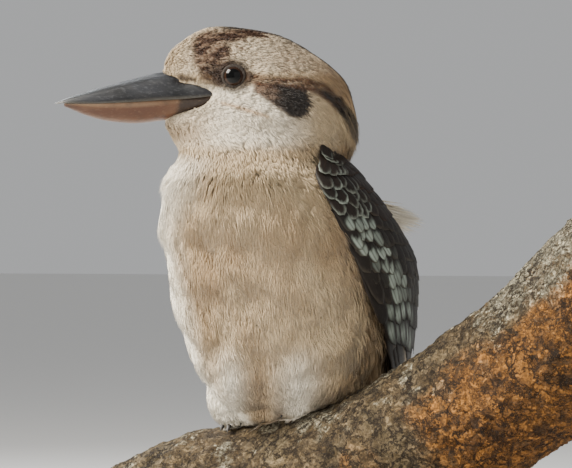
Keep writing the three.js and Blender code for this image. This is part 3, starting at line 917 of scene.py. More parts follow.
BODY = Stations(
    ["front", "back", "width", "taper"],
    [
        [1, -22, 22, 0, 0],
        [3, 2, 50, 18, 0],
        [8, 17, 68, 33, 0],
        [16, 27, 81, 44, 0],
        [30, 37, 90, 53, -0.06],
        [48, 45, 94, 60, -0.08],
        [65, 51, 94, 63, -0.08],
        [82, 55, 92, 65, -0.08],
        [100, 58, 87, 65, -0.08],
        [116, 62, 76, 63, -0.08],
        [130, 63, 64, 58, -0.08],
        [147, 61, 50, 51, -0.05],
        [155, 55, 50, 46, 0],
        [162, 53.5, 52, 42, 0.1],
        [170, 58, 53.5, 39, 0.25],
        [179, 61.5, 54.5, 37, 0.36],
        [190, 60.5, 52.5, 34.5, 0.4],
        [204, 61.5, 46.5, 31.5, 0.38],
        [212, 62, 39, 28.5, 0.34],
        [220, 58, 28, 24.5, 0.28],
        [228, 49, 14, 18.5, 0.2],
        [232.5, 41.5, 1, 12.5, 0.1],
        [235, 34.5, -15, 7, 0],
        [236, 26, -26, 0, 0],
    ],
)
FLANK = Stations(
    ["wide", "middle", "behind", "breast", "back"],
    [
        [-30, 25, 46, 82, 151, 166],
        [-10, 34, 35, 80, 138, 173],
        [10, 47, 24, 80, 122, 175],
        [33, 60, 14, 82, 108, 175],
        [48, 65, 9, 82, 98, 174],
        [65, 69, 5, 81, 93, 173],
        [94, 71, 1, 78, 82, 169],
        [115, 69, -6, 64, 78, 164],
        [130, 65, -12, 51, 78, 158],
        [142, 60, -17, 40, 79, 150],
        [150, 55, -20, 33, 83, 142],
        [158, 49, -22, 24, 95, 122],
    ],
)
BILL = Stations(
    ["ridge", "mouth", "keel", "width"],
    [
        [27, 201, 194.2, 188, 19.5],
        [38, 205.5, 192.6, 183, 18.4],
        [50, 207.6, 191.6, 181.2, 15.8],
        [63, 207, 191, 179, 13.8],
        [77, 203.8, 190, 177.5, 11.9],
        [90, 200.6, 189.4, 178.2, 9.9],
        [100, 198, 189, 180, 8],
        [109, 195.3, 188.9, 182.8, 6],
        [116, 193.1, 189, 185.7, 4],
        [121, 191.2, 189.1, 187.6, 2.4],
        [125.5, 189.3, 188.9, 188.6, 0.5],
    ],
)


def face(forward: Array | float, height: Array | float) -> Array:
    """Return how far the cheeks, brow, lores and eye hollow stand out or in."""
    cheek = 2.6 * bump(forward, 2, 22) * bump(height, 183, 11)
    chin = 178 + 0.3 * (63 - np.asarray(forward, float))
    lore = 5.5 * smooth(np.asarray(height) - chin, -2, 5) * (1 - smooth(height, 197, 205))
    lore = lore * smooth(forward, 20, 36)
    hollow = 1.6 * bump(forward, 21, 10) * bump(height, 204.8, 8)
    brow = 1.4 * bump(forward, 23, 18) * bump(height, 217.8, 5)
    return cheek + brow - lore - hollow


EYES = Eyes()


@dataclass(frozen=True)
class Plumage:
    """The markings of the head and body, by place."""

    forecrown: tuple = ((44, 226, 7.5), (38, 218, 9.5), (33, 210, 8.5), (27, 204, 5.5))
    crown_edge: tuple = ((44, 226, 5), (30, 229, 5), (10, 232, 3))
    eye_line: tuple = ((14, 203.5, 3.2), (0, 201, 3.8), (-16, 201, 4.2), (-31, 197, 4.4), (-40, 190, 4))
    ear: tuple = ((8, 197, 2.8), (-3, 194, 6.5), (-14, 189.3, 8.8))
    nape: tuple = ((-31, 196, 2.2), (-40, 190, 3.4), (-47, 181, 3.6), (-51, 173, 2.4))
    lore: tuple = ((44, 203, 1.2), (52, 204.5, 2.2))
    gape: tuple = ((28, 189, 0.8), (12, 184, 1.2), (2, 181, 0.8))
    crease: tuple = ((-69, 114, 0.2), (-62, 90, 0.9), (-49, 60, 0.2))

    def colours(self, points: Array) -> Array:
        """Return the colour of the coat at places in the bird's frame."""
        height = points[:, 2]
        tall = points * np.array([1.0, 1.0, 0.6])
        cloud = ripple(tall, 8.0, 2)
        wide = ripple(tall, 20.0, 3)
        coat = Paint.of(Tone.CREAM, len(points))
        coat.lay(Tone.SMOKE, 0.05 + (0.09 * cloud + 0.09 * wide) * (1 - 0.6 * smooth(height, 160, 175)))
        self._body(coat, points, cloud, wide)
        self._head(coat, points, cloud, smooth(height, 158, 168))
        return coat.colour

    def _body(self, coat: Paint, points: Array, cloud: Array, wide: Array) -> None:
        """Lay in the breast, legs, flanks and back, with some painted light and shade."""
        height = points[:, 2]
        round_body = STANCE.round_body(points)
        angle = np.degrees(np.abs(round_body))
        edge = FLANK.read(height)["breast"] + 12 * (1 - smooth(height, 45, 95))
        # Painted shade, in part: the breast's middle, towards the right as the camera sees it, is laid
        # darker. This is partly its own buff and partly painted shade away from the key light.
        middle = bump(round_body, 0.25, 0.75) * bump(height, 95, 48)
        coat.lay(Tone.SMOKE, middle * (0.60 + 0.10 * cloud))
        low = 1 - smooth(height, 18, 60)
        coat.lay(Tone.BUFF, 0.10 + 0.14 * low + 0.06 * cloud)
        # Painted light on the breast's left side, as the camera sees it, where the key light falls.
        lit = smooth(0.38 * smooth(height, 108, 146) - round_body, 0.0, 0.80)
        coat.lay(Tone.WHITE, 0.95 * lit * (1 - smooth(height, 150, 160)))
        # Painted light and shade on the legs' lobes: the bulges are laid whiter, partly their own white down
        # and partly painted light, and the valley between them gets painted shade.
        fluff, valley = self.leg_fluff(points)
        coat.lay(Tone.WHITE, 0.88 * fluff)
        coat.lay(Tone.SMOKE, 0.42 * valley)
        # Painted light and shade: a bluish grey strip down the breast's left edge, as the camera sees it,
        # stands in for cool light on its shaded side.
        painted_cool_edge = bump(round_body, -0.86 - 0.0016 * (height - 90), 0.055) * smooth(height, 84, 106)
        coat.lay(Tone.SLATE, painted_cool_edge * (1 - smooth(height, 138, 148)) * (0.34 + 0.12 * wide))
        # Painted shade in the crease where the breast feathers part; the skin is also set in there.
        coat.lay(Tone.SMOKE, self.breast_crease(points) * 0.6)
        flank = smooth(angle - edge, -24, 6) * (1 - smooth(height, 128, 150))
        coat.lay(Tone.SMOKE, flank * (0.20 + 0.2 * cloud))
        fray = smooth(angle - edge, 7, 16) * (1 - smooth(height, 140, 152)) * smooth(height, 24, 60)
        coat.lay(Tone.UMBER, fray * (0.28 + 0.4 * ripple(points, 3.0, 7)))
        back = smooth(angle - edge, 15, 26) * (1 - smooth(height, 150, 158))
        coat.lay(Tone.DARK, back * 0.96)
        rump = back * smooth(angle, 150, 165) * (1 - smooth(height, 50, 85))
        coat.lay(Tone.SLATE, rump * (0.7 + 0.3 * wide))
        coat.lay(Tone.WHITE, self.back_tuft(points))

    @staticmethod
    def across(points: Array) -> Array:
        """Return how far places lie to the right, as the camera sees them."""
        return CAMERA_RIGHT[0] * points[:, 0] + CAMERA_RIGHT[1] * points[:, 1]

    def leg_fluff(self, points: Array) -> tuple[Array, Array]:
        """Return where the loose plumage of the two legs bulges and where it falls in between them."""
        across = self.across(points)
        front = smooth(12 - points[:, 1], 0, 16)
        low = (1 - smooth(points[:, 2], 22, 52)) * front
        lobes = bump(across, -36, 9) + bump(across, 5, 12)
        return np.clip(lobes, 0, 1) * low, bump(across, -17, 6) * low

    def breast_crease(self, points: Array) -> Array:
        """Return where the breast feathers part along a slanting crease, from 0 to 1."""
        across = self.across(points)
        front = smooth(-points[:, 1], 10, 25)
        return near_path(across, points[:, 2], self.crease, 1.6) * front

    def back_tuft(self, points: Array) -> Array:
        """Return where the loose white feathers of the back stand, from 0 to 1."""
        off = np.linalg.norm((points - np.array([16.0, 42.0, 128.0])) / np.array([7.0, 9.0, 7.0]), axis=1)
        return 1 - smooth(off, 0.7, 1.3)

    def nape_tuft(self, points: Array) -> Array:
        """Return where the long dark feathers of the nape stand, from 0 to 1."""
        forward, _, height = STANCE.to_head(points)
        return near_path(forward, height, self.nape, 3.0) * smooth(-forward, 34, 44)

    def _head(self, coat: Paint, points: Array, cloud: Array, head: Array) -> None:
        """Lay in the crown, mask, eye line, ear patch and nape, with painted shade under the bill and on the
        forehead.
        """
        forward, left, height = STANCE.to_head(points)
        aside = np.abs(left)
        streak = ripple(np.stack([forward * 0.22, left, height], 1), 1.15, 1)
        fleck = ripple(np.stack([forward * 0.62, left, height], 1), 1.25, 4)
        wobble = 1.0 * cloud + 0.7 * streak
        slant = forward + 0.3 * (height - 205) + 1.5 * streak
        # The white below the eye line fades towards the bill: painted shade under the bill.
        below = head * (1 - smooth(height, 196, 204)) * (1 - 0.45 * smooth(forward, 24, 44))
        coat.lay(Tone.WHITE, 0.66 * below * smooth(forward, -30, -5))
        coat.lay(Tone.WHITE, 0.30 * head * smooth(height, 204, 210))
        rear = np.clip(-forward, 0, 60)
        crown = head * smooth(height + 0.45 * rear, 206, 213)
        coat.lay(Tone.BUFF, crown * (0.16 + 0.08 * cloud + 0.28 * smooth(rear, 10, 40)))
        coat.lay(Tone.UMBER, crown * 0.55 * smooth(fleck, 0.45, 1.05))
        rim = crown * smooth(rear, 16, 40) * smooth(streak, -0.2, 0.7)
        coat.lay(Tone.UMBER, rim * 0.55)
        brown = near_path(slant, height + wobble, self.forecrown, 3.0) * smooth(aside, 5, 10)
        edge = near_path(slant, height + wobble, self.crown_edge, 3.0) * (1 - smooth(aside, 16, 22))
        brown = np.maximum(brown, edge)
        coat.lay(Tone.RUFOUS, head * brown * (0.86 + 0.25 * streak))
        coat.lay(Tone.DARK, head * brown * 0.78 * smooth(streak, -0.5, 0.4))
        ridge = height + 0.0145 * np.clip(np.abs(forward - 6), 0, 60) ** 2
        top = head * (1 - smooth(aside + 0.8 * streak, 7.5, 11.5)) * smooth(ridge, 218, 224)
        top = top * smooth(34 - forward, 0, 14)
        coat.lay(Tone.BLACK, top * (0.90 + 0.1 * streak))
        line = near_path(forward + wobble, height + 0.8 * wobble, self.eye_line, 1.8) * smooth(aside, 10, 16)
        coat.lay(Tone.UMBER, head * line * (0.88 + 0.25 * streak))
        round_eye = np.hypot((forward - 21) / 1.1, height - 204.8)
        front_of_eye = bump(forward, 31, 6.0) * bump(height, 206, 6) * smooth(aside, 10, 16)
        coat.lay(Tone.DARK, head * np.clip(front_of_eye * 1.15, 0, 0.95))
        coat.lay(Tone.DARK, head * (1 - smooth(round_eye, 8, 11.5)) * smooth(aside, 12, 18) * 0.80)
        ear = near_path(forward + wobble, height + 0.5 * wobble, self.ear, 1.8) * smooth(aside, 12, 18)
        coat.lay(Tone.UMBER, head * ear * 0.9)
        dark_ear = ear * smooth(-forward + 2 * streak, -5, 8)
        coat.lay(Tone.BLACK, head * dark_ear * 0.97)
        nape = near_path(forward + wobble, height, self.nape, 1.6)
        coat.lay(Tone.BLACK, head * nape * (0.88 + 0.2 * streak))
        shaded = smooth(forward, 30, 50) * bump(height, 171, 8)
        shaded = shaded + 0.8 * smooth(forward, 50, 57) * smooth(height, 204, 210)
        coat.lay(Tone.SMOKE, head * 0.62 * np.clip(shaded, 0, 1))
        neck = bump(height, 160, 6) * smooth(-forward, 0, 25) * (0.40 + 0.25 * cloud)
        coat.lay(Tone.BUFF, neck)
        crease = near_path(forward, height, self.gape, 1.6) * smooth(aside, 8, 14)
        coat.lay(Tone.BUFF, head * crease * 0.75)
        lore = near_path(forward, height, self.lore, 1.4) * smooth(aside, 5, 9)
        coat.lay(Tone.DARK, head * lore * 0.85)
        front = smooth(slant, 49, 56) * smooth(height, 203, 209) * head
        coat.lay(Tone.CREAM, 0.55 * front * (1 - 0.3 * np.clip(streak, 0, 1)))


@dataclass(frozen=True)
class Leg:
    """Loose plumage of one leg, as a rounded form from the toes up into the belly."""

    low: Triple
    high: Triple
    radii: Pair = (15.0, 27.0)


@dataclass
class Flesh:
    """The one skin under the coat: the solids' forms, cut down by the coat's depth."""

    bark: Clearance
    nodes: tuple[str, ...] = ("torso", "neck", "head", "leg_left", "leg_right")
    legs: tuple[Leg, ...] = (
        Leg((13.3, -15.0, 3.0), (30.0, -6.0, 56.0)),
        Leg((-22.3, -25.0, -3.5), (-30.0, -6.0, 56.0)),
        Leg((-5.0, -23.0, -4.0), (0.0, -4.0, 50.0), (15.0, 26.0)),
    )
    voxel: float = 0.0021
    fold_depths: Pair = (0.75, 0.38)
    plumage: Plumage = field(default_factory=Plumage)

    def depth(self, points: Array) -> Array:
        """Return the coat's depth over places in the bird's frame, in millimetres."""
        height = points[:, 2]
        body = mix(3.4, 1.7, smooth(height, 150, 176))
        body = mix(1.8, body, smooth(height, 4, 34))
        return mix(body, 0.9, self.bare(points)) + 1.6 * self.gape(points)

    def gape(self, points: Array) -> Array:
        """Return where the cheek falls back behind the lower half of the bill, from 0 to 1."""
        forward, left, height = STANCE.to_head(points)
        below = smooth(height, 180, 185) * (1 - smooth(height, 192, 197))
        return below * smooth(forward, 30, 42) * smooth(np.abs(left), 8, 14)

    def bare(self, points: Array) -> Array:
        """Return how close places are to the bill or an eye, from 0 to 1."""
        forward, left, height = STANCE.to_head(points)
        sizes = BILL.read(forward)
        side = np.abs(left) - sizes["width"]
        above = np.maximum(height - sizes["ridge"], sizes["keel"] - height)
        off = np.hypot(np.clip(side, 0, None), np.clip(above, 0, None)) + np.clip(24 - forward, 0, None)
        close = 1 - smooth(off, 1, 9)
        for way in (1, -1):
            spot, _ = EYES.surface(way)
            close = np.maximum(close, 1 - smooth(np.linalg.norm(points - spot, axis=1), 7, 13))
        return close

    @staticmethod
    def ring(height: float, sides: int = 96) -> Array:
        """Return the outline of the body or head at a height, on the stand."""
        sizes = BODY.read(height)
        around = np.arange(sides) / sides * 2 * math.pi
        middle, half = (sizes["front"] - sizes["back"]) / 2, (sizes["front"] + sizes["back"]) / 2
        forward = middle + half * np.cos(around)
        side = np.sin(around) * (1 - sizes["taper"] * np.cos(around))
        left = (sizes["width"] + face(forward, height) * smooth(height, 168, 182)) * side
        yaw = STANCE.head_yaw * float(smooth(height, 140, 168))
        x = -math.sin(yaw) * forward + math.cos(yaw) * left
        y = STANCE.pivot - math.cos(yaw) * forward - math.sin(yaw) * left
        return STANCE.to_stand(np.stack([x, y, np.full(sides, float(height))], 1))

    @staticmethod
    def limb(
        low: Array, high: Array, wide: Pair, deep: Pair, blunt: int
    ) -> list[Array]:
        """Return rings of a rounded form between two points of the bird's frame."""
        line = unit(high - low)
        side = unit(np.array([1.0, 0, 0]) - line * line[0])
        through = np.cross(line, side)
        around = (np.arange(48) / 48 * 2 * math.pi)[:, None]
        rings = []
        for t in 0.5 - 0.5 * np.cos(np.linspace(0.05, math.pi - 0.05, 28)):
            swell = math.sqrt(max(1 - abs(2 * t - 1) ** blunt, 0.001))
            across = side * mix(wide[0], wide[1], t**0.75) * np.cos(around)
            inward = through * mix(deep[0], deep[1], t**0.75) * np.sin(around)
            rings.append(STANCE.to_stand(low + (high - low) * t + (across + inward) * swell))
        return rings

    def forms(self) -> BMesh:
        """Return the body, legs and rump as closed forms in one bmesh."""
        share = np.linspace(0.004, 0.996, 110)
        heights = 1 + 235 * (share - 0.12 * np.sin(2 * math.pi * share))
        shells = [[self.ring(height) for height in heights]]
        for leg in self.legs:
            shells.append(self.limb(np.array(leg.low), np.array(leg.high), leg.radii, leg.radii, 5))
        tail = Tail()
        ends, _ = tail.at(np.array([-46.0, 20.0]), np.zeros(2), np.array([-4.0, 0.0]))
        shells.append(self.limb(ends[0], ends[1], (46, 18), (38, 13), 5))
        joined = bmesh.new()
        for rings in shells:
            joined.from_mesh(loft("form", rings))
        return joined

    def build(self) -> Piece:
        """Return the skin, which replaces the nodes of flesh."""
        mesh = remeshed("skin", self.forms(), self.voxel, 6)
        piece = add_piece("skin", mesh, Skin().material())
        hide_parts(*self.nodes)
        points, normals, _ = read_mesh(piece)
        bird = STANCE.to_bird(points)
        body = smooth(bird[:, 2], 10, 50) * (1 - smooth(bird[:, 2], 150, 165))
        tall = bird * np.array([1.0, 1.0, 0.6])
        broad, fine = self.fold_depths
        folds = body * (broad * ripple(bird, 14.0, 5) + fine * ripple(tall, 6.0, 8))
        fluff, valley = self.plumage.leg_fluff(bird)
        folds = folds + 2.0 * fluff - 2.6 * valley - 1.8 * self.plumage.breast_crease(bird)
        inset = self.depth(bird) - folds
        write_points(piece, self.bark.lift(points - normals * inset[:, None] / 1000.0, 0.0006))
        paint(piece, self.plumage.colours(bird) * 0.9)
        return piece


@dataclass(frozen=True)
class Region:
    """One piece of the coat, and the bounds of the places that it covers."""

    name: str
    slot: str
    tufts: int
    height: Pair
    forward: Pair = (-math.inf, math.inf)
    aside: Pair = (-math.inf, math.inf)
    angle: Pair = (-math.inf, math.inf)

    def holds(self, **places: Array) -> Array:
        """Return which places lie over the lower bound and up to the upper one, in every measure."""
        inside = np.array(True)
        for name, values in places.items():
            low, high = getattr(self, name)
            inside = inside & (values > low) & (values <= high)
        return inside


@dataclass
class Coat:
    """Small feathers over the skin, in tufts of thin solid barbs that lie along the body."""

    skin: Piece
    flesh: Flesh
    strands: int = 6
    samples: int = 240000
    low: float = 62.0
    under_wing: float = 0.22
    in_tuft: float = 9.0
    on_bark: float = 0.12
    plumage: Plumage = field(default_factory=Plumage)
    regions: tuple[Region, ...] = (
        Region("coat_face", "face_feathers", 3250, (168, math.inf), forward=(22, math.inf)),
        Region("coat_cheeks", "face_feathers", 3250, (168, 203), forward=(-math.inf, 22)),
        Region("coat_crown", "face_feathers", 2600, (203, math.inf), forward=(-math.inf, 22)),
        Region("coat_neck", "body_feathers", 2400, (138, 168)),
        Region("coat_breast_left", "body_feathers", 2400, (88, 138), aside=(0, math.inf), angle=(-1, 110)),
        Region("coat_breast_right", "body_feathers", 2400, (88, 138), aside=(-math.inf, 0), angle=(-1, 110)),
        Region("coat_belly", "body_feathers", 3250, (40, 88), angle=(-1, 110)),
        Region("coat_vent", "body_feathers", 3250, (-math.inf, 40), angle=(-1, 110)),
        Region("coat_back", "body_feathers", 2000, (-math.inf, 138), angle=(110, 180)),
    )

    def lie(self, points: Array, normals: Array) -> Array:
        """Return which way the coat lies, along the skin, at places in the bird's frame."""
        forward, _, height = STANCE.to_head(points)
        axis, _ = STANCE.head_axes()
        down = np.array([0.0, 0.0, -1.0])
        drop = mix(0.22, 0.9, 1 - smooth(height, 176, 196)) + 0.75 * smooth(-forward, 5, 45)
        head = -axis * 1.0 + down * drop[:, None]
        angle = STANCE.round_body(points)
        sideways = np.stack([np.sin(angle), 0.55 - 0.45 * np.cos(angle), np.zeros_like(angle)], 1)
        near_wing = smooth(np.degrees(np.abs(angle)) - FLANK.read(height)["breast"], -26, 2)
        body = down + (0.26 + 0.30 * near_wing[:, None]) * sideways * smooth(height, 20, 70)[:, None]
        way = mix(body, head, smooth(height, 150, 172)[:, None])
        sway = 0.20 * ripple(points, 13.0, 6)
        sway = sway + 0.12 * ripple(points, 5.0, 9) * (1 - smooth(height, 160, 180))
        way = way - normals * np.sum(way * normals, 1, keepdims=True)
        way = unit(way)
        way = unit(way + np.cross(normals, way) * sway[:, None])
        loose = self.plumage.back_tuft(points)[:, None]
        return unit(mix(way, np.array([0.45, 0.85, -0.25]), loose))

    def length(self, points: Array) -> Array:
        """Return the length of the small feathers at places in the bird's frame, in millimetres."""
        forward, _, height = STANCE.to_head(points)
        head = mix(6.4, 10.0, smooth(-forward, -40, 40))
        body = mix(15.0, 12.5, smooth(height, 120, 160))
        body = mix(9.0, body, smooth(height, 4, 42))
        reach = mix(body, head, smooth(height, 158, 180))
        reach = mix(reach, 3.0, 0.85 * self.flesh.bare(points))
        reach = reach + 8.0 * self.plumage.nape_tuft(points) + 4.0 * self.near_wing(points)
        return reach + 20.0 * self.plumage.back_tuft(points)

    @staticmethod
    def near_wing(points: Array) -> Array:
        """Return how close places of the flank are to the wing's front edge, from 0 to 1."""
        angle = np.degrees(np.abs(STANCE.round_body(points)))
        off = angle - FLANK.read(points[:, 2])["breast"]
        return smooth(off, -12, 4) * (1 - smooth(off, 14, 20)) * (1 - smooth(points[:, 2], 142, 152))

    @staticmethod
    def keep(points: Array) -> Array:
        """Return which roots stand clear of the eyes and the bill."""
        forward, left, height = STANCE.to_head(points)
        sizes = BILL.read(forward)
        middle, half = (sizes["ridge"] + sizes["keel"]) / 2, (sizes["ridge"] - sizes["keel"]) / 2
        round_off = np.sqrt(np.clip(1 - ((height - middle) / half) ** 2, 0, 1))
        in_bill = (np.abs(height - middle) < half) & (np.abs(left) < sizes["width"] * round_off + 0.2)
        in_bill = in_bill & (forward > 22)
        clear = ~in_bill
        for way in (1, -1):
            spot, _ = EYES.surface(way)
            clear &= np.linalg.norm(points - spot, axis=1) > EYES.lid + 0.6
        return clear

    @staticmethod
    def hidden(points: Array) -> Array:
        """Return which roots face straight down on the bark, where no feather shows."""
        under = (points[:, 2] < 4) & (np.abs(points[:, 0]) < 30) & (points[:, 1] > -14)
        return under & (points[:, 1] < 34)

    def roots(self, rng: Rng) -> tuple[Array, Array]:
        """Return many even places over the skin with their normals, in the bird's frame."""
        points, normals, triangles = read_mesh(self.skin)
        corner = points[triangles]
        area = np.linalg.norm(np.cross(corner[:, 1] - corner[:, 0], corner[:, 2] - corner[:, 0]), axis=1)
        count = self.samples
        order = (np.arange(count) + rng.uniform(0, 1, count)) / count
        pick = np.searchsorted(np.cumsum(area) / area.sum(), order)
        pick = np.minimum(pick, len(triangles) - 1)
        weights = rng.dirichlet((1.0, 1.0, 1.0), count)
        spots = np.einsum("nk,nkd->nd", weights, corner[pick])
        facing = unit(np.einsum("nk,nkd->nd", weights, normals[triangles[pick]]))
        inverse = np.linalg.inv(STANCE.turn(np.eye(3)))
        return STANCE.to_bird(spots), facing @ inverse

    def build(self) -> None:
        """Make the pieces of the coat."""
        rng = np.random.default_rng(SEED)
        points, normals = self.roots(rng)
        clear = self.keep(points)
        points, normals = points[clear], normals[clear]
        forward, _, height = STANCE.to_head(points)
        angle = np.degrees(np.abs(STANCE.round_body(points)))
        edges = FLANK.read(height)
        winged = (angle > edges["breast"] + 9) & (angle < edges["back"] - 6) & (height < 146)
        share = np.where(winged, self.under_wing, 1.0)
        share = np.where(self.plumage.back_tuft(points) > 0.2, self.in_tuft, share)
        share = np.where(self.hidden(points), self.on_bark, share)
        height = height + rng.uniform(-5, 5, len(points)) * (1 - smooth(height, 150, 168))
        aside = points[:, 0] + rng.uniform(-5, 5, len(points))
        forward = forward + rng.uniform(-3, 3, len(points))
        material = SoftFeather().material()
        for region in self.regions:
            held = region.holds(height=height, forward=forward, aside=aside, angle=angle)
            inside = np.flatnonzero(held)
            order = np.argsort(rng.uniform(0, 1, len(inside)) / share[inside])
            chosen = inside[order[: region.tufts]]
            self.tufts(region, points[chosen], normals[chosen], material, rng)

    def tufts(self, region: Region, points: Array, normals: Array, material: Material, rng: Rng) -> None:
        """Grow one region's tufts.

        Args:
            region: gives the piece's name.
            points: roots in the bird's frame.
            normals: the skin's normals there.
            material: the finish.
            rng: the seeded source of variation.
        """
        count, k = len(points), self.strands
        lies = self.lie(points, normals)
        length = self.length(points)
        loose = self.plumage.back_tuft(points)
        near = self.near_wing(points)
        depth = self.flesh.depth(points) + 2.0 * loose + 1.2 * self.plumage.nape_tuft(points) + 1.4 * near
        calm = smooth(points[:, 2], 150, 172)
        side = np.cross(normals, lies)
        spread = (0.16 * length + 0.3)[:, None, None]
        across = rng.normal(0, 0.5, (count, k, 1))
        along = rng.uniform(-0.6, 0.6, (count, k, 1))
        yaw = rng.normal(0, 0.09, (count, k, 1)) * (1 + 2 * loose)[:, None, None] + 0.10 * across
        ways = np.cos(yaw) * lies[:, None] + np.sin(yaw) * side[:, None]
        up = np.broadcast_to(normals[:, None], ways.shape)
        span = length[:, None, None] * rng.uniform(0.72, 1.12, (count, k, 1))
        rise = depth[:, None, None] * rng.uniform(0.66, 0.98, (count, k, 1))
        base = points[:, None] + side[:, None] * across * spread + lies[:, None] * along * spread - up * 0.35
        middle = base + ways * span * 0.5 + up * (rise * 0.9 + 0.1)
        curl = np.cross(up, ways) * rng.normal(0, 0.05, (count, k, 1)) * span
        tip = base + ways * span - side[:, None] * across * spread * 0.35 + up * rise * 0.86 + curl
        width = ((0.028 * length + mix(0.24, 0.20, calm)) * (1 + 0.8 * loose))[:, None, None]
        width = width * rng.uniform(0.8, 1.25, (count, k, 1))
        edge = np.cross(up, ways) * width * 0.5
        ridge = up * width * 0.30
        rings = [centre + way for centre in (base, middle) for way in (-edge, edge, ridge)]
        shape = np.stack([*rings, tip], 2)
        shape = self.clear_of_bark(shape.reshape(-1, 3))
        sampled = (middle - ways * span * (0.5 * loose)[:, None, None]).reshape(-1, 3)
        colour = self.plumage.colours(sampled).reshape(count, k, 1, 3)
        colour = mix(colour, Tone.WHITE.light, smooth(loose, 0.2, 0.6)[:, None, None, None])
        # Painted shade and light along each strand: darker at its root, under the strands over it, a little
        # lighter at its tip, and evener on the head.
        shade = np.array([0.84, 0.84, 0.86, 0.99, 0.99, 1.0, 1.05])
        shade = mix(shade[None], np.array([0.95, 0.95, 0.96, 1.0, 1.0, 1.0, 1.02])[None], calm[:, None])
        vary = mix(0.08, 0.04, calm)[:, None, None, None]
        strand_tint = 1 + vary * rng.uniform(-1, 1, (count, k, 1, 1))
        strand_tint = strand_tint + vary * rng.uniform(-1, 1, (count, 1, 1, 1))
        tint = colour * shade[:, None, :, None] * strand_tint
        spot = self.unwrap(points)[:, None, None, :]
        run = np.array([0.0, 0.0, 0.05, 0.5, 0.5, 0.5, 1.0])
        wide = np.array([-0.5, 0.5, 0.0, -0.4, 0.4, 0.0, 0.0])
        patch = np.clip(across, -1, 1) * 0.4 + 0.1 * wide
        patch = np.stack(np.broadcast_arrays(patch, run[None, None] - 0.5), -1)
        places = spot + patch * 0.003
        total = count * k
        start = (np.arange(total) * 7)[:, None, None]
        quads = (start + np.array([[0, 1, 4, 3], [1, 2, 5, 4], [2, 0, 3, 5]])).reshape(-1, 4)
        ends = (start + np.array([[3, 4, 6], [4, 5, 6], [5, 3, 6], [0, 2, 1]])).reshape(-1, 3)
        mesh = mesh_from(region.name, shape, quads, ends)
        add_map(mesh, "OFBake", places.reshape(-1, 2))
        piece = add_piece(region.name, mesh, material)
        paint(piece, tint.reshape(-1, 3))

    def clear_of_bark(self, points: Array) -> Array:
        """Return places of the bird's frame on the stand, the low ones bent out of the bark."""
        placed = STANCE.to_stand(points)
        low = np.flatnonzero(points[:, 2] < self.low)
        placed[low] = self.flesh.bark.lift(placed[low], 0.0003)
        return placed

    @staticmethod
    def unwrap(points: Array) -> Array:
        """Return where places in the bird's frame lie on an unwrap of the skin: round it and up it."""
        angle = STANCE.round_body(points)
        leg = (points[:, 2] < 14).astype(float)
        turn = 0.02 + 0.96 * (angle / (2 * math.pi) + 0.5)
        rise = 0.10 + 0.87 * np.clip((points[:, 2] + 10) / 250, 0, 1)
        foot = 0.02 + 0.06 * np.clip((points[:, 2] + 40) / 54, 0, 1)
        return np.stack([turn, mix(rise, foot, leg)], 1)


# Large feathers.
class Row(Enum):
    """The kinds of wing feather."""

    PRIMARY = auto()
    SECONDARY = auto()
    TERTIAL = auto()
    GREATER = auto()
    MEDIAN = auto()
    LESSER = auto()
    SCAPULAR = auto()


@dataclass(frozen=True)
class Tier:
    """A row of wing feathers: where its first and last roots and tips lie, as run and width of the wing."""

    row: Row
    count: int
    root: tuple[float, float, float, float]
    tip: tuple[float, float, float, float]
    lift: Pair
    width: float
    stack: float = 0.0
    pointed: float = 0.0


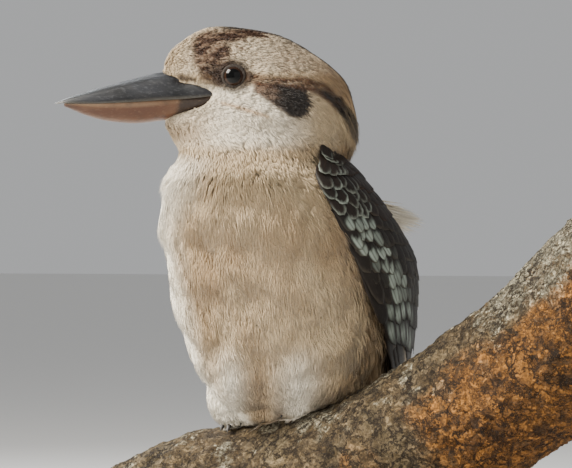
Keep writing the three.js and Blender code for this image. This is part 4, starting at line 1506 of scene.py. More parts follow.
@dataclass
class VaneSheet:
    """Builds feathers as thin closed vanes and joins them into one mesh."""

    bark: Clearance
    rows: int = 15
    columns: int = 7
    thick: float = 0.28
    points: list = field(default_factory=list)
    colours: list = field(default_factory=list)
    lie: list = field(default_factory=list)
    spots: list = field(default_factory=list)

    def add(
        self,
        centre: Array,
        normal: Array,
        width: float,
        tint: Tint,
        spot: Array,
        rng: Rng,
        roll: float = 0.0,
        cup: float = 0.10,
        pointed: float = 0.0,
    ) -> None:
        """Add one feather.

        Args:
            centre: its shaft, one place a row, in millimetres.
            normal: the way its face looks at each row.
            width: its greatest width.
            tint: gives its colours from run and across.
            spot: its place on the wing's unwrap.
            rng: the seeded source of variation.
            roll: how much it tilts to one side, as a slope.
            cup: how far its edges bend down, as a share of its half width.
            pointed: 0 for a round tip to 1 for a narrow one.
        """
        run = np.linspace(0, 1, self.rows) ** 0.85
        across = np.linspace(-1, 1, self.columns)
        line = unit(np.gradient(centre, axis=0))
        side = unit(np.cross(line, normal))
        face_way = unit(np.cross(side, line))
        face_way *= np.sign(np.sum(face_way * normal, 1, keepdims=True))
        shape = np.sqrt(np.clip(1 - np.clip((run - 0.72) / 0.28, 0, 1) ** mix(2.4, 1.3, pointed), 0, 1))
        shape = shape * mix(0.55, 1.0, smooth(run, -0.1, 0.5))
        half = np.maximum(width / 2 * shape, 0.25)
        worn = np.abs(rng.normal(0, 1, (self.rows, 2))).clip(0, 1.6)
        nick = 1 - 0.10 * worn * smooth(run, 0.3, 0.9)[:, None]
        reach = np.where(across < 0, nick[:, :1], nick[:, 1:]) * half[:, None] * across
        bend = -cup * half[:, None] * across**2 + roll * reach
        wave = 0.12 * np.sin(9 * run[:, None] + 2.5 * across + rng.uniform(0, 6))
        flat = centre[:, None] + side[:, None] * reach[..., None]
        flat = flat + face_way[:, None] * (bend + wave)[..., None]
        tip = smooth(run, 0.9, 1.0)[:, None] * (across**2) * -0.05 * width
        flat = flat + line[:, None] * tip[..., None]
        depth = self.thick * (1 - 0.6 * np.abs(across)) * mix(1.0, 0.5, run)[:, None]
        self.points.append(np.stack([flat, flat - face_way[:, None] * depth[..., None]]).reshape(-1, 3))
        grid_run, grid_across = np.broadcast_arrays(run[:, None], across[None])
        colour = tint(grid_run.ravel(), grid_across.ravel())
        # Painted shade: each feather's underside is painted darker than its top.
        self.colours.append(np.concatenate([colour, colour * 0.8]))
        place = np.stack([grid_across / 2 + 0.5, grid_run], -1).reshape(-1, 2)
        self.lie.append(np.concatenate([place, place]))
        self.spots.append(np.concatenate([spot + (place - 0.5) * 0.003] * 2))

    def faces(self) -> Array:
        """Return one feather's quads."""
        rows, columns = self.rows, self.columns
        i, j = np.meshgrid(np.arange(rows - 1), np.arange(columns - 1), indexing="ij")
        a = (i * columns + j).ravel()
        top = np.stack([a, a + 1, a + columns + 1, a + columns], 1)
        under = (top + rows * columns)[:, ::-1]
        ring = np.concatenate(
            [
                np.arange(columns),
                np.arange(1, rows) * columns + columns - 1,
                (rows - 1) * columns + np.arange(columns - 2, -1, -1),
                np.arange(rows - 2, 0, -1) * columns,
            ]
        )
        after = np.roll(ring, -1)
        wall = np.stack([after, ring, ring + rows * columns, after + rows * columns], 1)
        return np.concatenate([top, under, wall])

    def piece(self, name: str, slot: str, material: Material) -> Piece:
        """Return the joined feathers as one piece."""
        size = self.rows * self.columns * 2
        quads = (self.faces()[None] + (np.arange(len(self.points)) * size)[:, None, None]).reshape(-1, 4)
        points = self.bark.lift(STANCE.to_stand(np.concatenate(self.points)), 0.0008)
        mesh = mesh_from(name, points, quads)
        add_map(mesh, "OFBake", np.concatenate(self.spots))
        add_map(mesh, "Lie", np.concatenate(self.lie))
        work = bmesh.new()
        work.from_mesh(mesh)
        bmesh.ops.recalc_face_normals(work, faces=work.faces)
        work.to_mesh(mesh)
        work.free()
        piece = add_piece(name, mesh, material)
        paint(piece, np.concatenate(self.colours))
        return piece


@dataclass
class Wings:
    """Both folded wings, in tiers from the flight feathers out to the shoulder."""

    bark: Clearance
    top: float = 158.0
    bottom: float = -30.0
    tiers: tuple[Tier, ...] = (
        Tier(Row.PRIMARY, 9, (0.4, 0.16, 0.4, 0.5), (0.84, 0.12, 1.0, 0.66), (-5.2, -4.2), 13.5, 0.42, 0.55),
        Tier(Row.SECONDARY, 11, (0.38, 0.30, 0.36, 0.9), (0.82, 0.5, 0.75, 0.97), (-4.6, -2.6), 15, 0.22),
        Tier(Row.TERTIAL, 4, (0.34, 0.84, 0.34, 0.98), (0.66, 0.82, 0.80, 0.98), (-3.4, 0.2), 19, 0.25),
        Tier(Row.GREATER, 13, (0.36, 0.05, 0.36, 0.90), (0.610, 0.08, 0.640, 0.92), (-4.0, -1.3), 10),
        Tier(Row.GREATER, 14, (0.32, 0.04, 0.32, 0.90), (0.525, 0.05, 0.560, 0.92), (-3.8, -0.9), 10),
        Tier(Row.MEDIAN, 15, (0.28, 0.04, 0.28, 0.90), (0.460, 0.05, 0.500, 0.91), (-3.6, -0.6), 9),
        Tier(Row.MEDIAN, 14, (0.26, 0.06, 0.26, 0.88), (0.415, 0.07, 0.440, 0.90), (-3.5, -0.5), 9),
        Tier(Row.MEDIAN, 15, (0.23, 0.04, 0.23, 0.86), (0.370, 0.05, 0.390, 0.88), (-3.4, -0.3), 9),
        Tier(Row.MEDIAN, 14, (0.20, 0.06, 0.20, 0.86), (0.325, 0.07, 0.340, 0.88), (-3.3, -0.1), 9),
        Tier(Row.MEDIAN, 15, (0.16, 0.04, 0.16, 0.86), (0.280, 0.05, 0.290, 0.88), (-3.2, 0.1), 9),
        Tier(Row.MEDIAN, 14, (0.12, 0.05, 0.12, 0.86), (0.235, 0.06, 0.245, 0.88), (-3.2, 0.2), 9),
        Tier(Row.LESSER, 14, (0.09, 0.05, 0.09, 0.84), (0.190, 0.06, 0.200, 0.87), (-3.1, 0.4), 9),
        Tier(Row.LESSER, 13, (0.05, 0.04, 0.05, 0.84), (0.147, 0.05, 0.155, 0.86), (-3.0, 0.6), 9),
        Tier(Row.LESSER, 13, (0.02, 0.06, 0.02, 0.82), (0.103, 0.06, 0.110, 0.85), (-3.0, 0.8), 9),
        Tier(Row.LESSER, 12, (-0.02, 0.09, -0.02, 0.8), (0.062, 0.08, 0.068, 0.83), (-3.0, 0.9), 9),
        Tier(Row.LESSER, 10, (-0.04, 0.16, -0.04, 0.8), (0.025, 0.13, 0.030, 0.82), (-3.2, 0.9), 9),
        Tier(Row.SCAPULAR, 7, (0.05, 0.90, 0.34, 1.0), (0.24, 0.86, 0.56, 0.97), (-3.2, 1.3), 14),
        Tier(Row.SCAPULAR, 6, (0.10, 1.0, 0.36, 1.04), (0.30, 0.98, 0.60, 1.02), (-2.8, 1.9), 14),
    )

    def surface(self, side: int, run: Array, width: Array, lift: Array) -> tuple[Array, Array]:
        """Return places on a wing and the ways it faces there.

        Args:
            side: 1 for the left wing, -1 for the right.
            run: 0 at the shoulder to 1 at the tip.
            width: 0 at the breast edge to 1 at the back edge.
            lift: height over the wing's surface, in millimetres.

        Returns:
            The places and the normals, in the bird's frame.
        """

        def at(height: Array, share: Array) -> Array:
            """Return places at a height and a share of the wing's width."""
            sizes = FLANK.read(height)
            angle = np.radians(mix(sizes["breast"], sizes["back"], share))
            depth = np.where(angle > math.pi / 2, sizes["behind"] - sizes["middle"], 74.0)
            across = side * sizes["wide"] * np.sin(angle)
            return np.stack([across, sizes["middle"] - depth * np.cos(angle), height], -1)

        height = mix(self.top, self.bottom, np.asarray(run, float))
        width = np.broadcast_to(np.asarray(width, float), height.shape)
        lift = np.asarray(lift) + 1.8 * bump(run, 0.40, 0.22) * smooth(width, 0.25, 0.6)
        point = at(height, width)
        down = at(height - 1, width) - at(height + 1, width)
        normal = unit(np.cross(down, at(height, width + 0.02) - at(height, width - 0.02)))
        sizes = FLANK.read(height)
        out = point - np.stack([np.zeros_like(height), sizes["middle"], height], -1)
        normal = normal * np.sign(np.sum(normal * out, -1, keepdims=True))
        return point + normal * np.asarray(lift)[..., None], normal

    def tint(self, tier: Tier, share: float, rng: Rng) -> Tint:
        """Return how one feather of a tier is coloured, by run and across."""
        tone = rng.uniform(0.5, 1.0)
        lively = rng.uniform(0.35, 1.0)
        slim = rng.uniform(-0.10, 0.06)
        reach = mix(0.20, 0.34, float(smooth(tier.tip[0], 0.22, 0.55)))
        start = 0.10 * float(bump(tier.tip[0], 0.46, 0.08))
        window = float(smooth(share, start, start + 0.03) * (1 - smooth(share, reach, reach + 0.10)))
        window = max(window, 0.0 if start > 0.02 else 1 - float(smooth(share, reach, reach + 0.10)))
        seed = rng.uniform(0, 50)

        def colours(run: Array, across: Array) -> Array:
            """Return the feather's colours."""
            place = np.stack([run * 9, across * 2.2, np.full_like(run, seed)], 1)
            blot = ripple(place, 1.1, 8)
            streak = ripple(place * np.array([0.35, 3.0, 1.0]), 1.0, 9)
            coat = Paint.of(Tone.BLACK, len(run), tone)
            edge = smooth(np.abs(across) + 0.12 * streak, 0.72, 0.94)
            tip = smooth(run + 0.25 * across**2 + 0.03 * streak, 0.90, 1.0)
            rim = np.maximum(tip, edge * smooth(run, 0.45, 0.8))
            match tier.row:
                case Row.LESSER:
                    coat.lay(Tone.DARK, 0.20 + 0.2 * streak)
                    pale = rim * (1 - smooth(share, 0.20, 0.45)) * lively
                    coat.lay(Tone.SKY, pale * 0.85)
                    coat.lay(Tone.UMBER, rim * 0.15)
                case Row.MEDIAN:
                    spot = smooth(run + 0.06 * blot, 0.66, 0.78) * (1 - smooth(run, 0.93, 1.0) * 0.8)
                    spot = spot * (1 - smooth(np.abs(across + 0.08) + 0.1 * blot - slim, 0.52, 0.74))
                    spot = spot * (1 - 0.35 * (np.abs(across) < 0.10)) * window
                    coat.lay(Tone.SKY, spot * lively * (0.90 + 0.2 * blot))
                    coat.lay(Tone.GREY, rim * 0.12)
                case Row.GREATER:
                    spot = bump(run, 0.83, 0.10) * (1 - smooth(np.abs(across) - slim, 0.36, 0.62)) * window
                    coat.lay(Tone.SKY, spot * (0.45 + 0.55 * lively) * (0.95 + 0.2 * blot))
                    coat.lay(Tone.UMBER, edge * 0.10)
                case Row.PRIMARY:
                    base = bump(run, 0.60, 0.14) * smooth(-across, -0.3, 0.5)
                    coat.lay(Tone.CREAM, base * (0.75 + 0.3 * blot))
                    coat.lay(Tone.UMBER, edge * 0.15)
                case Row.SECONDARY:
                    coat.lay(Tone.SLATE, smooth(-across, 0.2, 0.9) * 0.18)
                    coat.lay(Tone.CREAM, smooth(run, 0.965, 0.995) * 0.4)
                case _:
                    coat.lay(Tone.UMBER, 0.10 + 0.10 * streak)
                    coat.lay(Tone.BUFF, edge * 0.06 + tip * 0.08)
            return coat.colour

        return colours

    def build(self) -> None:
        """Make the two wings, which replace the CAD wings."""
        material = VaneFeather().material()
        for name, side in (("left", 1), ("right", -1)):
            rng = np.random.default_rng(SEED + side)
            sheet = VaneSheet(self.bark)
            run = np.linspace(0, 1, sheet.rows) ** 0.85
            for tier in self.tiers:
                for i in range(tier.count):
                    share = i / (tier.count - 1)
                    self._feather(sheet, side, tier, share, i, run, rng)
            piece = sheet.piece(f"wing_{name}_feathers", "wing_feathers", material)
            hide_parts(f"wing_{name}")

    def _feather(
        self, sheet: VaneSheet, side: int, tier: Tier, share: float, index: int, run: Array, rng: Rng
    ) -> None:
        """Add one feather of a tier to the sheet."""
        root = mix(tier.root[0], tier.root[2], share), mix(tier.root[1], tier.root[3], share)
        tip = mix(tier.tip[0], tier.tip[2], share), mix(tier.tip[1], tier.tip[3], share)
        jitter = rng.normal(0, 1, 3) * np.array([0.008, 0.010, 0.12])
        stack = tier.stack * index
        lift = mix(tier.lift[0] + 0.25 * stack, tier.lift[1] + stack + jitter[2], run**0.6)
        centre, normal = self.surface(
            side, mix(root[0], tip[0] + jitter[0], run), mix(root[1], tip[1] + jitter[1], run), lift
        )
        wide = 0.03 + 0.94 * mix(root[1], tip[1], 0.5) * 0.9
        spot = np.array([wide, 0.03 + 0.9 * np.clip(mix(root[0], tip[0], 0.5), 0, 1)])
        sheet.add(
            centre,
            normal,
            tier.width * rng.uniform(0.94, 1.08),
            self.tint(tier, share, rng),
            spot,
            rng,
            roll=-0.11 * side if tier.stack == 0 else -0.04 * side,
            pointed=tier.pointed,
        )


@dataclass
class Tail:
    """The folded tail: pairs of barred feathers with coverts over and under their roots."""

    bark: Clearance | None = None
    root: Triple = (0.0, 44.0, 34.0)
    pitch: float = math.radians(70)
    length: float = 152.0
    pairs: int = 6

    def at(self, run: Array, left: Array, lift: Array) -> tuple[Array, Array]:
        """Return places on the tail by run, left and lift, and its upper side's direction."""
        line = np.array([0.0, math.cos(self.pitch), -math.sin(self.pitch)])
        top = np.array([0.0, math.sin(self.pitch), math.cos(self.pitch)])
        run, left, lift = np.broadcast_arrays(run, left, lift)
        point = np.array(self.root) + run[..., None] * line + lift[..., None] * top
        point[..., 0] += left
        return point, np.broadcast_to(top, point.shape)

    def tint(self, pair: int, seed: float) -> Tint:
        """Return how a tail feather is barred, by run and across."""

        def colours(run: Array, across: Array) -> Array:
            """Return the feather's colours."""
            wobble = 0.09 * ripple(np.stack([run * 7, across * 2, np.full_like(run, seed)], 1), 1.0, 4)
            bars = smooth(np.sin((run * 7.5 + wobble * 3 + 0.25 * np.abs(across)) * FULL_TURN), -0.1, 0.35)
            coat = Paint.of(Tone.RUFOUS, len(run))
            coat.lay(Tone.BLACK, bars * 0.92)
            coat.lay(Tone.WHITE, smooth(run + wobble * 0.3, 0.88, 0.925) * (0.95 if pair else 0.5))
            return coat.colour

        return colours

    def covert_tint(self, seed: float, under: bool) -> Tint:
        """Return how a covert of the tail is coloured."""

        def colours(run: Array, across: Array) -> Array:
            """Return the covert's colours."""
            blot = ripple(np.stack([run * 6, across * 2, np.full_like(run, seed)], 1), 1.0, 5)
            coat = Paint.of(Tone.CREAM if under else Tone.RUFOUS, len(run))
            bars = smooth(np.sin(run * 24 + blot), 0.2, 0.7)
            coat.lay(Tone.SMOKE if under else Tone.BLACK, bars * (0.35 if under else 0.85))
            return coat.colour

        return colours

    def build(self) -> None:
        """Make the tail, which replaces the CAD tail."""
        rng = np.random.default_rng(SEED + 5)
        sheet = VaneSheet(self.bark, rows=25, columns=9)
        run = np.linspace(0, 1, sheet.rows) ** 0.85
        for pair in range(self.pairs):
            for side in (-1, 1):
                lift = 2.8 - 0.80 * (2 * pair + (side > 0))
                end = self.length - 1.5 - 2.6 * pair + rng.normal(0, 0.8)
                left = mix(2 + 1.2 * pair, 4.2 + 2.7 * pair, run) * side
                centre, normal = self.at(mix(6.0, end, run), left, lift)
                spot = np.array([0.5 + side * 0.06 * (pair + 1), 0.3])
                tint = self.tint(pair, 3 * pair + side)
                sheet.add(centre, normal, 22 - 0.9 * pair, tint, spot, rng, 0.0, 0.04)
        for under in (False, True):
            for row in range(3):
                for i in range(6):
                    left = (i - 2.5) * 5.2
                    end = (54, 40, 26)[row] + (10 if under else 0) - 2.0 * abs(i - 2.5)
                    low, high = (-5.4, -1.35) if under else (3.2, 1)
                    lift = mix(low, (5.6 + 0.7 * row) * high, run)
                    centre, normal = self.at(mix(-8.0 - 6 * row, end, run), left * mix(0.8, 1.15, run), lift)
                    spot = np.array([0.1 + 0.12 * i, 0.6 + 0.1 * row + (0.05 if under else 0)])
                    facing = normal if not under else -normal
                    tint = self.covert_tint(float(row * 6 + i), under)
                    sheet.add(centre, facing, 12.5, tint, spot, rng, 0.1, 0.14)
        piece = sheet.piece("tail_feathers", "tail_feathers", VaneFeather("tail_vane").material())
        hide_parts("tail")


# Hard parts of the head.
@dataclass
class Bill:
    """The two halves of the bill, with ridge, keel, nostrils and worn edges."""

    tip: float = 125.5
    root: float = 27.0
    rings: int = 64
    sides: int = 56
    nostril: Pair = (50.0, 202.0)
    parting: float = 0.3

    def half(self, way: int) -> list[Array]:
        """Return the rings of one half on the stand: way is 1 for the upper half, -1 for the lower."""
        end = self.tip if way > 0 else self.tip - 5.5
        rings = []
        for k in range(self.rings):
            forward = mix(self.root, end, (k / (self.rings - 1)) ** 0.8)
            sizes = BILL.read(forward)
            edge = sizes["mouth"] + way * self.parting / 2
            depth = max(float(sizes["ridge"] - edge if way > 0 else edge - sizes["keel"]), 0.25)
            angle = np.arange(self.sides) / self.sides * 2 * math.pi
            arch = np.sin(angle)
            rounded = np.where(arch > 0, np.abs(arch) ** (0.92 if way > 0 else 0.80), 0.06 * arch)
            left = sizes["width"] * (1.0 if way > 0 else 0.965) * np.cos(angle)
            crest = 0.05 * depth * bump(np.abs(angle - math.pi / 2), 0, 0.18) * (way > 0)
            height = edge + way * (depth * rounded + crest)
            waist = 1 - 0.05 * bump(arch, 0.45, 0.22) * smooth(forward, 40, 60)
            left = left * waist
            spot = np.stack([np.full(self.sides, float(forward)), left, height], 1)
            if way > 0:
                pit = bump(forward, self.nostril[0], 4.2) * bump(height, self.nostril[1], 1.25)
                spot[:, 1] -= np.sign(left) * 2.2 * pit * (np.abs(left) > 4)
            rings.append(STANCE.to_stand(STANCE.from_head(spot[:, 0], spot[:, 1], spot[:, 2])))
        return rings

    def upper_colours(self, forward: Array, left: Array, height: Array) -> Array:
        """Return the slate of the upper half."""
        cloud = ripple(np.stack([forward * 0.4, left, height], 1), 3.0, 12)
        coat = Paint.of(Tone.BLACK_HORN, len(forward))
        coat.lay(Tone.HORN, 0.20 + 0.18 * cloud)
        sizes = BILL.read(forward)
        edge = 1 - smooth(height - sizes["mouth"], 0.2, 1.6)
        coat.lay(Tone.GREY, edge * 0.20 + smooth(forward, 116, 126) * 0.10)
        pit = bump(forward, self.nostril[0], 4.4) * bump(height, self.nostril[1], 1.4) * (np.abs(left) > 4)
        coat.lay(Tone.BLACK, pit * 0.95)
        coat.lay(Tone.BLACK, (1 - smooth(forward, 30, 52)) * 0.35)
        return coat.colour

    def lower_colours(self, forward: Array, left: Array, height: Array) -> Array:
        """Return the horn of the lower half, dark at its base."""
        cloud = ripple(np.stack([forward * 0.4, left, height], 1), 4.0, 13)
        coat = Paint.of(Tone.BROWN_HORN, len(forward))
        sizes = BILL.read(forward)
        down = (sizes["mouth"] - height) / np.maximum(sizes["mouth"] - sizes["keel"], 0.5)
        coat.lay(Tone.CREAM, smooth(down, 0.55, 1.0) * 0.04 + 0.05 * cloud)
        coat.lay(Tone.CREAM, bump(down, 0.10, 0.12) * 0.30)
        coat.lay(Tone.UMBER, bump(down, 0.32, 0.20) * (0.42 + 0.20 * cloud))
        coat.lay(Tone.UMBER, bump(forward, 66, 16) * (0.30 + 0.25 * cloud))
        coat.lay(Tone.UMBER, bump(down, 0.90, 0.30) * smooth(forward, 58, 80) * 0.55)
        coat.lay(Tone.DARK, smooth(forward, 104, 120) * 0.4)
        wedge = 1 - smooth(forward - 4 * (down - 0.5) + 1.5 * cloud, 53, 57)
        coat.lay(Tone.BLACK, wedge * 0.88)
        return coat.colour

    def build(self) -> None:
        """Make the two halves, which replace the CAD ones."""
        for name, way, scuff, rough, tints in (
            ("bill_upper", 1, (0.17, 0.175, 0.19), 0.38, self.upper_colours),
            ("bill_lower", -1, (0.26, 0.17, 0.115), 0.44, self.lower_colours),
        ):
            mesh = loft(f"{name}_horn", self.half(way))
            finish = BillHorn(f"{name}_finish", scuff, rough).material()
            piece = add_piece(f"{name}_horn", mesh, finish)
            points, _, _ = read_mesh(piece)
            forward, left, height = STANCE.to_head(STANCE.to_bird(points))
            paint(piece, tints(forward, left, height))
            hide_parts(name)


@dataclass
class EyeSet:
    """Eyeballs and the beaded lids round them."""

    eyes: Eyes = EYES
    cornea: Pair = (0.72, 0.10)
    steps: int = 64
    sides: int = 14

    def build(self) -> None:
        """Make the eyes and lids."""
        for name, side in (("left", 1), ("right", -1)):
            spot, out = self.eyes.surface(side)
            centre = STANCE.to_stand((spot + out * (self.eyes.sink - self.eyes.radius))[None])[0]
            axis = STANCE.turn(out[None])[0]
            self._ball(name, centre, axis)
            self._lid(name, centre, axis)

    def _ball(self, name: str, centre: Array, axis: Array) -> None:
        """Make one eyeball, with its cornea standing a little proud."""
        work = bmesh.new()
        bmesh.ops.create_uvsphere(work, u_segments=48, v_segments=32, radius=self.eyes.radius / 1000)
        for point in work.verts:
            proud = max(point.co.z / (self.eyes.radius / 1000) - self.cornea[0], 0.0)
            point.co *= 1 + self.cornea[1] * proud
        turn = Vector((0, 0, 1)).rotation_difference(Vector(axis)).to_matrix()
        bmesh.ops.rotate(work, verts=work.verts, cent=(0, 0, 0), matrix=turn)
        bmesh.ops.translate(work, verts=work.verts, vec=Vector(centre))
        mesh = from_bmesh(f"eyeball_{name}", work)
        glass = EyeGlass(f"eye_glass_{name}", tuple(centre), tuple(axis), self.eyes.radius / 1000)
        piece = add_piece(f"eyeball_{name}", mesh, glass.material())
        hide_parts(f"eye_{name}")

    def _lid(self, name: str, centre: Array, axis: Array) -> None:
        """Make one lid: a soft ring with an upper fold that is heavier than the lower."""
        rim = math.sqrt(self.eyes.radius**2 - self.eyes.lid**2)
        level = unit(np.cross(np.array([0.0, 0.0, 1.0]), axis))
        upright = np.cross(axis, level)
        rings = []
        for k in range(self.steps):
            around = k / self.steps * 2 * math.pi
            heavy = 0.5 + 0.5 * math.sin(around)
            reach = self.eyes.lid * (1 + 0.06 * math.cos(around) ** 2) - 0.25 * heavy
            thick = 0.72 + 0.30 * heavy + 0.05 * math.sin(22 * around)
            way = level * math.cos(around) + upright * math.sin(around)
            middle = centre + (way * reach + axis * (rim - 0.15 + 0.2 * heavy)) / 1000
            ring = []
            for j in range(self.sides):
                turn = j / self.sides * 2 * math.pi
                off = way * math.cos(turn) * thick * 1.25 + axis * math.sin(turn) * thick
                ring.append(middle + off / 1000)
            rings.append(np.array(ring))
        mesh = loft(f"lid_{name}", rings + [rings[0]], close=False)
        finish = BareSkin(f"lid_skin_{name}", (0.050, 0.037, 0.029), (0.010, 0.008, 0.006), 2600.0)
        add_piece(f"lid_{name}", mesh, finish.material())


# Feet, branch and stand.
@dataclass
class Feet:
    """Toes and claws, taken from the solids and made round and scaled."""

    toes: tuple[str, ...] = ("inner", "middle", "outer", "hind")
    grip: Pair = (-26.0, -44.0)
    radius: float = 46.0
    scales: Pair = (2.6, 0.16)

    def build(self) -> None:
        """Make the feet and claws, which replace the CAD ones."""
        skin = BareSkin("foot_scales", (0.235, 0.215, 0.175), (0.075, 0.066, 0.052), 900.0).material()
        horn = ClawHorn().material()
        for side in ("left", "right"):
            mesh = remeshed(f"toes_{side}", merged_copy([f"foot_{side}"]), 0.0005, 6)
            piece = add_piece(f"toes_{side}", mesh, skin)
            points, normals, _ = read_mesh(piece)
            bird = STANCE.to_bird(points)
            ring = np.sin(self._run(bird) * self.scales[0])
            rise = self.scales[1] * np.clip(ring, -0.6, 1)
            write_points(piece, points + normals * rise[:, None] / 1000)
            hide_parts(f"foot_{side}")
            for toe in self.toes:
                node = f"claw_{side}_{toe}"
                mesh = remeshed(f"{node}_horn", merged_copy([node]), 0.0003, 4)
                claw = add_piece(f"{node}_horn", mesh, horn)
                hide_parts(node)

    def _run(self, points: Array) -> Array:
        """Return how far along its toe each place lies, round what it grips, in millimetres."""
        return np.arctan2(points[:, 1] - self.grip[0], points[:, 2] - self.grip[1]) * self.radius


@dataclass(frozen=True)
class SawnEnd:
    """A sawn face of the branch: pale wood with rings and fine checks."""

    name: str
    centre: Triple
    out: Triple
    start: float
    squareness: float = 0.86

    def holds(self, points: Array, normals: Array) -> Array:
        """Return which places, in metres, lie on the sawn face."""
        facing = normals @ np.array(self.out) > self.squareness
        return facing & (points[:, 0] * np.sign(self.out[0]) > self.start)

    def material(self) -> Material:
        """Return the finish."""
        s = Shader(self.name)
        at = s.node("ShaderNodeTexCoord", {}, out="Object")
        arm = s.node("ShaderNodeVectorMath", {"operation": "SUBTRACT"}, at, self.centre)
        reach = s.node("ShaderNodeVectorMath", {"operation": "LENGTH"}, arm, out="Value")
        wander = s.grain(at, 40.0, 3.0)
        ring = ((reach * 420.0 + wander * 2.6) * FULL_TURN).sine() * 0.5 + 0.5
        pore = s.grain(at, 1600.0, 3.0)
        colour = s.blend((0.44, 0.31, 0.19), (0.24, 0.15, 0.085), ring * 0.7)
        colour = s.blend(colour, (0.13, 0.085, 0.05), pore.step(0.5, 0.75) * 0.5)
        colour = s.blend(colour, (0.10, 0.065, 0.04), reach.step(0.034, 0.040) * 0.8)
        relief = s.bumped(ring * 0.4 + pore, 0.4, 0.0005)
        return s.finish(Base_Color=colour, Roughness=pore * 0.2 + 0.7, Normal=relief)


@dataclass
class Perch:
    """The branch: bark in cracked plates over the solid's shape, and two sawn ends."""

    voxel: float = 0.00175
    margin: float = 0.004
    ends: tuple[SawnEnd, ...] = (
        SawnEnd("sawn_low", (-0.161, 0.0, 0.0731), (-0.910, 0.0, -0.4145), 0.145),
        SawnEnd("sawn_high", (0.1782, 0.0, 0.2372), (0.727, 0.0, 0.6865), 0.150),
    )

    def between_ends(self, place: Vector) -> bool:
        """Return whether a place is on the bark, clear of the sawn rims."""
        return all((Vector(end.centre) - place).dot(Vector(end.out)) > self.margin for end in self.ends)

    def marks(self, points: Array) -> tuple[Array, Array, Array, Array]:
        """Return the bark's height in millimetres and its cracks, lichen and stain from 0 to 1."""
        noise.seed_set(SEED)
        count = len(points)
        raised, crack, lichen, warm = (np.zeros(count) for _ in range(4))
        for i, place in enumerate(points):
            spot = Vector(place)
            bend = noise.noise_vector(spot * 42.0) * 0.010 + noise.noise_vector(spot * 160.0) * 0.0035
            plate = Vector((spot.x * 0.50, spot.y, spot.z * 0.85)) + bend
            near, far = noise.voronoi(plate * 98.0, distance_metric="DISTANCE")[0][:2]
            small = noise.voronoi((spot + bend) * 250.0, distance_metric="DISTANCE")[0]
            broken = 0.5 + 0.9 * noise.noise(spot * 60.0 + Vector((3, 8, 1)))
            wide = max(1.0 - (far - near) / 0.20, 0.0) * min(max(broken, 0.15), 1.0)
            thin = max(1.0 - (small[1] - small[0]) / 0.24, 0.0)
            rough = noise.fractal(spot * 210.0, 0.7, 2.1, 5)
            flake = noise.fractal(spot * 85.0, 0.8, 2.0, 4)
            large = noise.fractal(spot * 24.0, 1.0, 2.0, 3)
            crack[i] = max(wide, thin * 0.45)
            raised[i] = 0.9 * large + 1.0 * flake - 0.9 * wide * wide - 0.4 * thin + 0.7 * rough
            lichen[i] = noise.fractal(spot * 46.0 + Vector((5, 1, 2)), 0.7, 2.2, 5)
            warm[i] = noise.fractal(spot * 16.0 + Vector((1, 7, 3)), 0.9, 2.0, 4)
        return raised, crack, lichen, warm

    def build(self) -> Piece:
        """Return the branch, which replaces the CAD one."""
        mesh = remeshed("branch_bark", merged_copy(["perch_branch"]), self.voxel, 3, self.between_ends)
        piece = add_piece("branch_bark", mesh, Bark().material())
        points, normals, _ = read_mesh(piece)
        raised, crack, lichen, warm = self.marks(points)
        sawn = self.ends[0].holds(points, normals) | self.ends[1].holds(points, normals)
        grip = np.ones(len(points))
        for side in ("left", "right"):
            lowest, highest = (np.array(corner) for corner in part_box(f"foot_{side}"))
            off = np.linalg.norm(np.maximum(np.maximum(lowest - points, points - highest), 0), axis=1)
            grip = np.minimum(grip, smooth(off, 0.002, 0.014))
        raised = np.where(sawn, 0.0, mix(np.minimum(raised, 0.0) * 0.5 - 0.1, raised, grip))
        write_points(piece, points + normals * raised[:, None] / 1000.0)
        stain = smooth(points[:, 0] + 0.06 * warm, -0.03, 0.09) * 0.9 + smooth(warm, 0.2, 0.6) * 0.35
        stain = stain * (1 - smooth(normals[:, 2] + 0.3 * warm, 0.10, 0.62))
        upper = smooth(normals[:, 2], -0.1, 0.8)
        growth = smooth(lichen, -0.05, 0.35) * (0.15 + 0.85 * upper)
        growth = growth * (0.6 + 0.5 * smooth(points[:, 0], 0.0, 0.12))
        growth = np.maximum(growth, 0.8 * smooth(points[:, 0], 0.05, 0.14) * smooth(normals[:, 2], 0.1, 0.6))
        paint(piece, np.stack([crack, growth, stain], 1), "bark")
        self._ends(piece)
        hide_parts("perch_branch")
        return piece

    def _ends(self, piece: Piece) -> None:
        """Give the sawn faces their own finish."""
        faces = piece.data.polygons
        centres, normals = np.empty(len(faces) * 3), np.empty(len(faces) * 3)
        faces.foreach_get("center", centres)
        faces.foreach_get("normal", normals)
        index = np.zeros(len(faces), int)
        for slot, end in enumerate(self.ends, 1):
            piece.data.materials.append(end.material())
            index[end.holds(centres.reshape(-1, 3), normals.reshape(-1, 3))] = slot
        faces.foreach_set("material_index", index)


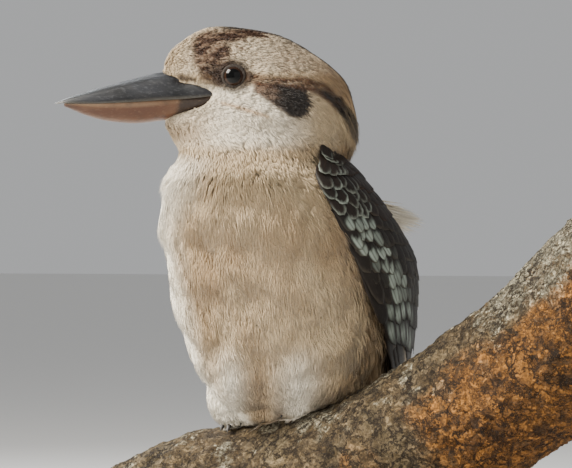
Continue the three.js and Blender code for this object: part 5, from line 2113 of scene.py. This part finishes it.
@dataclass
class Stand:
    """The plain base and its two rods, each with a small collar."""

    corner: float = 0.018
    edge: float = 0.0025
    collar: Pair = (0.0115, 0.004)

    def build(self) -> None:
        """Make the base, the rods and the collars."""
        self._base()
        for name in ("stand_rod_1", "stand_rod_2"):
            self._rod(name)

    def _base(self) -> None:
        """Make the base as a slab with rounded corners and a soft edge."""
        low, high = (Vector(corner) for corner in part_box("stand_base"))
        work = bmesh.new()
        bmesh.ops.create_cube(work, size=1.0)
        bmesh.ops.scale(work, verts=work.verts, vec=high - low)
        bmesh.ops.translate(work, verts=work.verts, vec=(high + low) / 2)
        upright = [edge for edge in work.edges if abs(edge.verts[0].co.z - edge.verts[1].co.z) > 0.001]
        self._bevel(work, upright, self.corner, 12)
        flat = [edge for edge in work.edges if abs(edge.verts[0].co.z - edge.verts[1].co.z) < 1e-6]
        rim = [edge for edge in flat if len(edge.link_faces) == 2 and self._turns(edge)]
        self._bevel(work, rim, self.edge, 4)
        mesh = from_bmesh("base_slab", work)
        light, dark = (0.105, 0.056, 0.030), (0.040, 0.021, 0.012)
        finish = CutWood("stained_oak", light, dark, (0.12, 1.0, 1.0), 60.0, 0.30, 0.35)
        piece = add_piece("base_slab", mesh, finish.material())
        for facet in mesh.polygons:
            facet.use_smooth = facet.area < 2e-4
        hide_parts("stand_base")

    @staticmethod
    def _turns(edge: bmesh.types.BMEdge) -> bool:
        """Return whether an edge lies where a flat face meets a side."""
        a, b = (abs(facet.normal.z) for facet in edge.link_faces)
        return abs(a - b) > 0.5

    @staticmethod
    def _bevel(work: BMesh, edges: list[bmesh.types.BMEdge], offset: float, segments: int) -> None:
        """Round the given edges."""
        bmesh.ops.bevel(
            work, geom=edges, offset=offset, segments=segments, profile=0.5, affect="EDGES", material=-1
        )

    def _rod(self, node: str) -> None:
        """Make one rod with a collar where it meets the base."""
        low, high = (Vector(corner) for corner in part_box(node))
        middle = (low + high) / 2
        top_of_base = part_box("stand_base")[1][2]
        work = bmesh.new()
        for radius, bottom, top, soft in (
            ((high.x - low.x) / 2, low.z, high.z, 0.0005),
            (self.collar[0], top_of_base, top_of_base + self.collar[1], 0.0012),
        ):
            made = bmesh.ops.create_cone(
                work, cap_ends=True, segments=48, radius1=radius, radius2=radius, depth=top - bottom
            )["verts"]
            bmesh.ops.translate(work, verts=made, vec=(middle.x, middle.y, (top + bottom) / 2))
            rims = {edge for point in made for edge in point.link_edges if len(edge.link_faces) == 2}
            self._bevel(work, [edge for edge in rims if self._turns(edge)], soft, 3)
        mesh = from_bmesh(f"{node}_steel", work)
        steel = SatinSteel(f"satin_steel_{node[-1]}").material()
        piece = add_piece(f"{node}_steel", mesh, steel)
        for facet in mesh.polygons:
            facet.use_smooth = abs(facet.normal.z) < 0.99
        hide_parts(node)


@dataclass
class Studio:
    """Pale floor, soft lights and the long lens of the photograph."""

    azimuth: float = math.radians(30)
    distance: float = 2.5
    sensor: float = 36.0
    elevation: float = 0.0
    span: float = 0.3432
    aim: Pair = (-2.4, 111.6)

    def build(self) -> None:
        """Set the camera, the floor and the lights."""
        right = np.array([math.cos(self.azimuth), math.sin(self.azimuth), 0.0])
        back = np.array([-math.sin(self.azimuth), math.cos(self.azimuth), 0.0])
        target = STANCE.to_stand(np.zeros((1, 3)))[0] + right * self.aim[0] / 1000
        target = target + np.array([0, 0, self.aim[1] / 1000])
        away = -back * math.cos(self.elevation) + np.array([0, 0, math.sin(self.elevation)])
        self._camera(target, target + away * self.distance)
        self._floor()
        self._lights(target, right, back)

    def _camera(self, target: Array, spot: Array) -> None:
        """Add the camera."""
        lens = bpy.data.cameras.new("camera")
        lens.sensor_width = self.sensor
        lens.lens = self.sensor * self.distance / self.span
        lens.clip_end = 100.0
        camera = in_scene("camera", lens)
        camera.location = spot
        camera.rotation_euler = (Vector(target) - Vector(spot)).to_track_quat("-Z", "Y").to_euler()
        bpy.context.scene.camera = camera

    def _floor(self) -> None:
        """Add a wide plain floor."""
        work = bmesh.new()
        bmesh.ops.create_grid(work, x_segments=1, y_segments=1, size=20.0)
        mesh = from_bmesh("floor", work)
        shader = Shader("floor_paint")
        mesh.materials.append(shader.finish(Base_Color=(0.80, 0.79, 0.77), Roughness=0.95))
        floor = in_scene("floor", mesh)

    def _lights(self, target: Array, right: Array, back: Array) -> None:
        """Add the soft sky and three large soft lamps."""
        world = bpy.data.worlds.new("sky")
        bpy.context.scene.world = world
        world.use_nodes = True
        sky = world.node_tree.nodes["Background"]
        sky.inputs["Color"].default_value = (0.78, 0.79, 0.80, 1.0)
        sky.inputs["Strength"].default_value = 0.56
        up = np.array([0.0, 0.0, 1.0])
        for name, way, size, power, tint in (
            ("key", -right * 1.25 - back * 0.30 + up * 1.15, 0.8, 112.0, (1.0, 0.96, 0.88)),
            ("rim", -right * 0.9 + back * 1.2 + up * 0.9, 0.9, 34.0, (0.93, 0.97, 1.0)),
            ("fill", right * 0.7 - back * 1.6 + up * 0.5, 1.8, 8.0, (1.0, 0.97, 0.93)),
        ):
            lamp = bpy.data.lights.new(name, "AREA")
            lamp.size = size
            lamp.energy = power
            lamp.color = tint
            holder = in_scene(name, lamp)
            holder.location = target + way
            holder.rotation_euler = Vector(-way).to_track_quat("-Z", "Y").to_euler()


def main() -> None:
    """Build every piece in order."""
    logging.basicConfig(level=logging.INFO, format="%(name)s: %(message)s")
    Studio().build()
    bark = Clearance(Perch().build())
    flesh = Flesh(bark)
    Coat(flesh.build(), flesh).build()
    Wings(bark).build()
    Tail(bark).build()
    Bill().build()
    EyeSet().build()
    Feet().build()
    Stand().build()
    log.info("all pieces are in place")


if __name__ == "__main__":
    main()
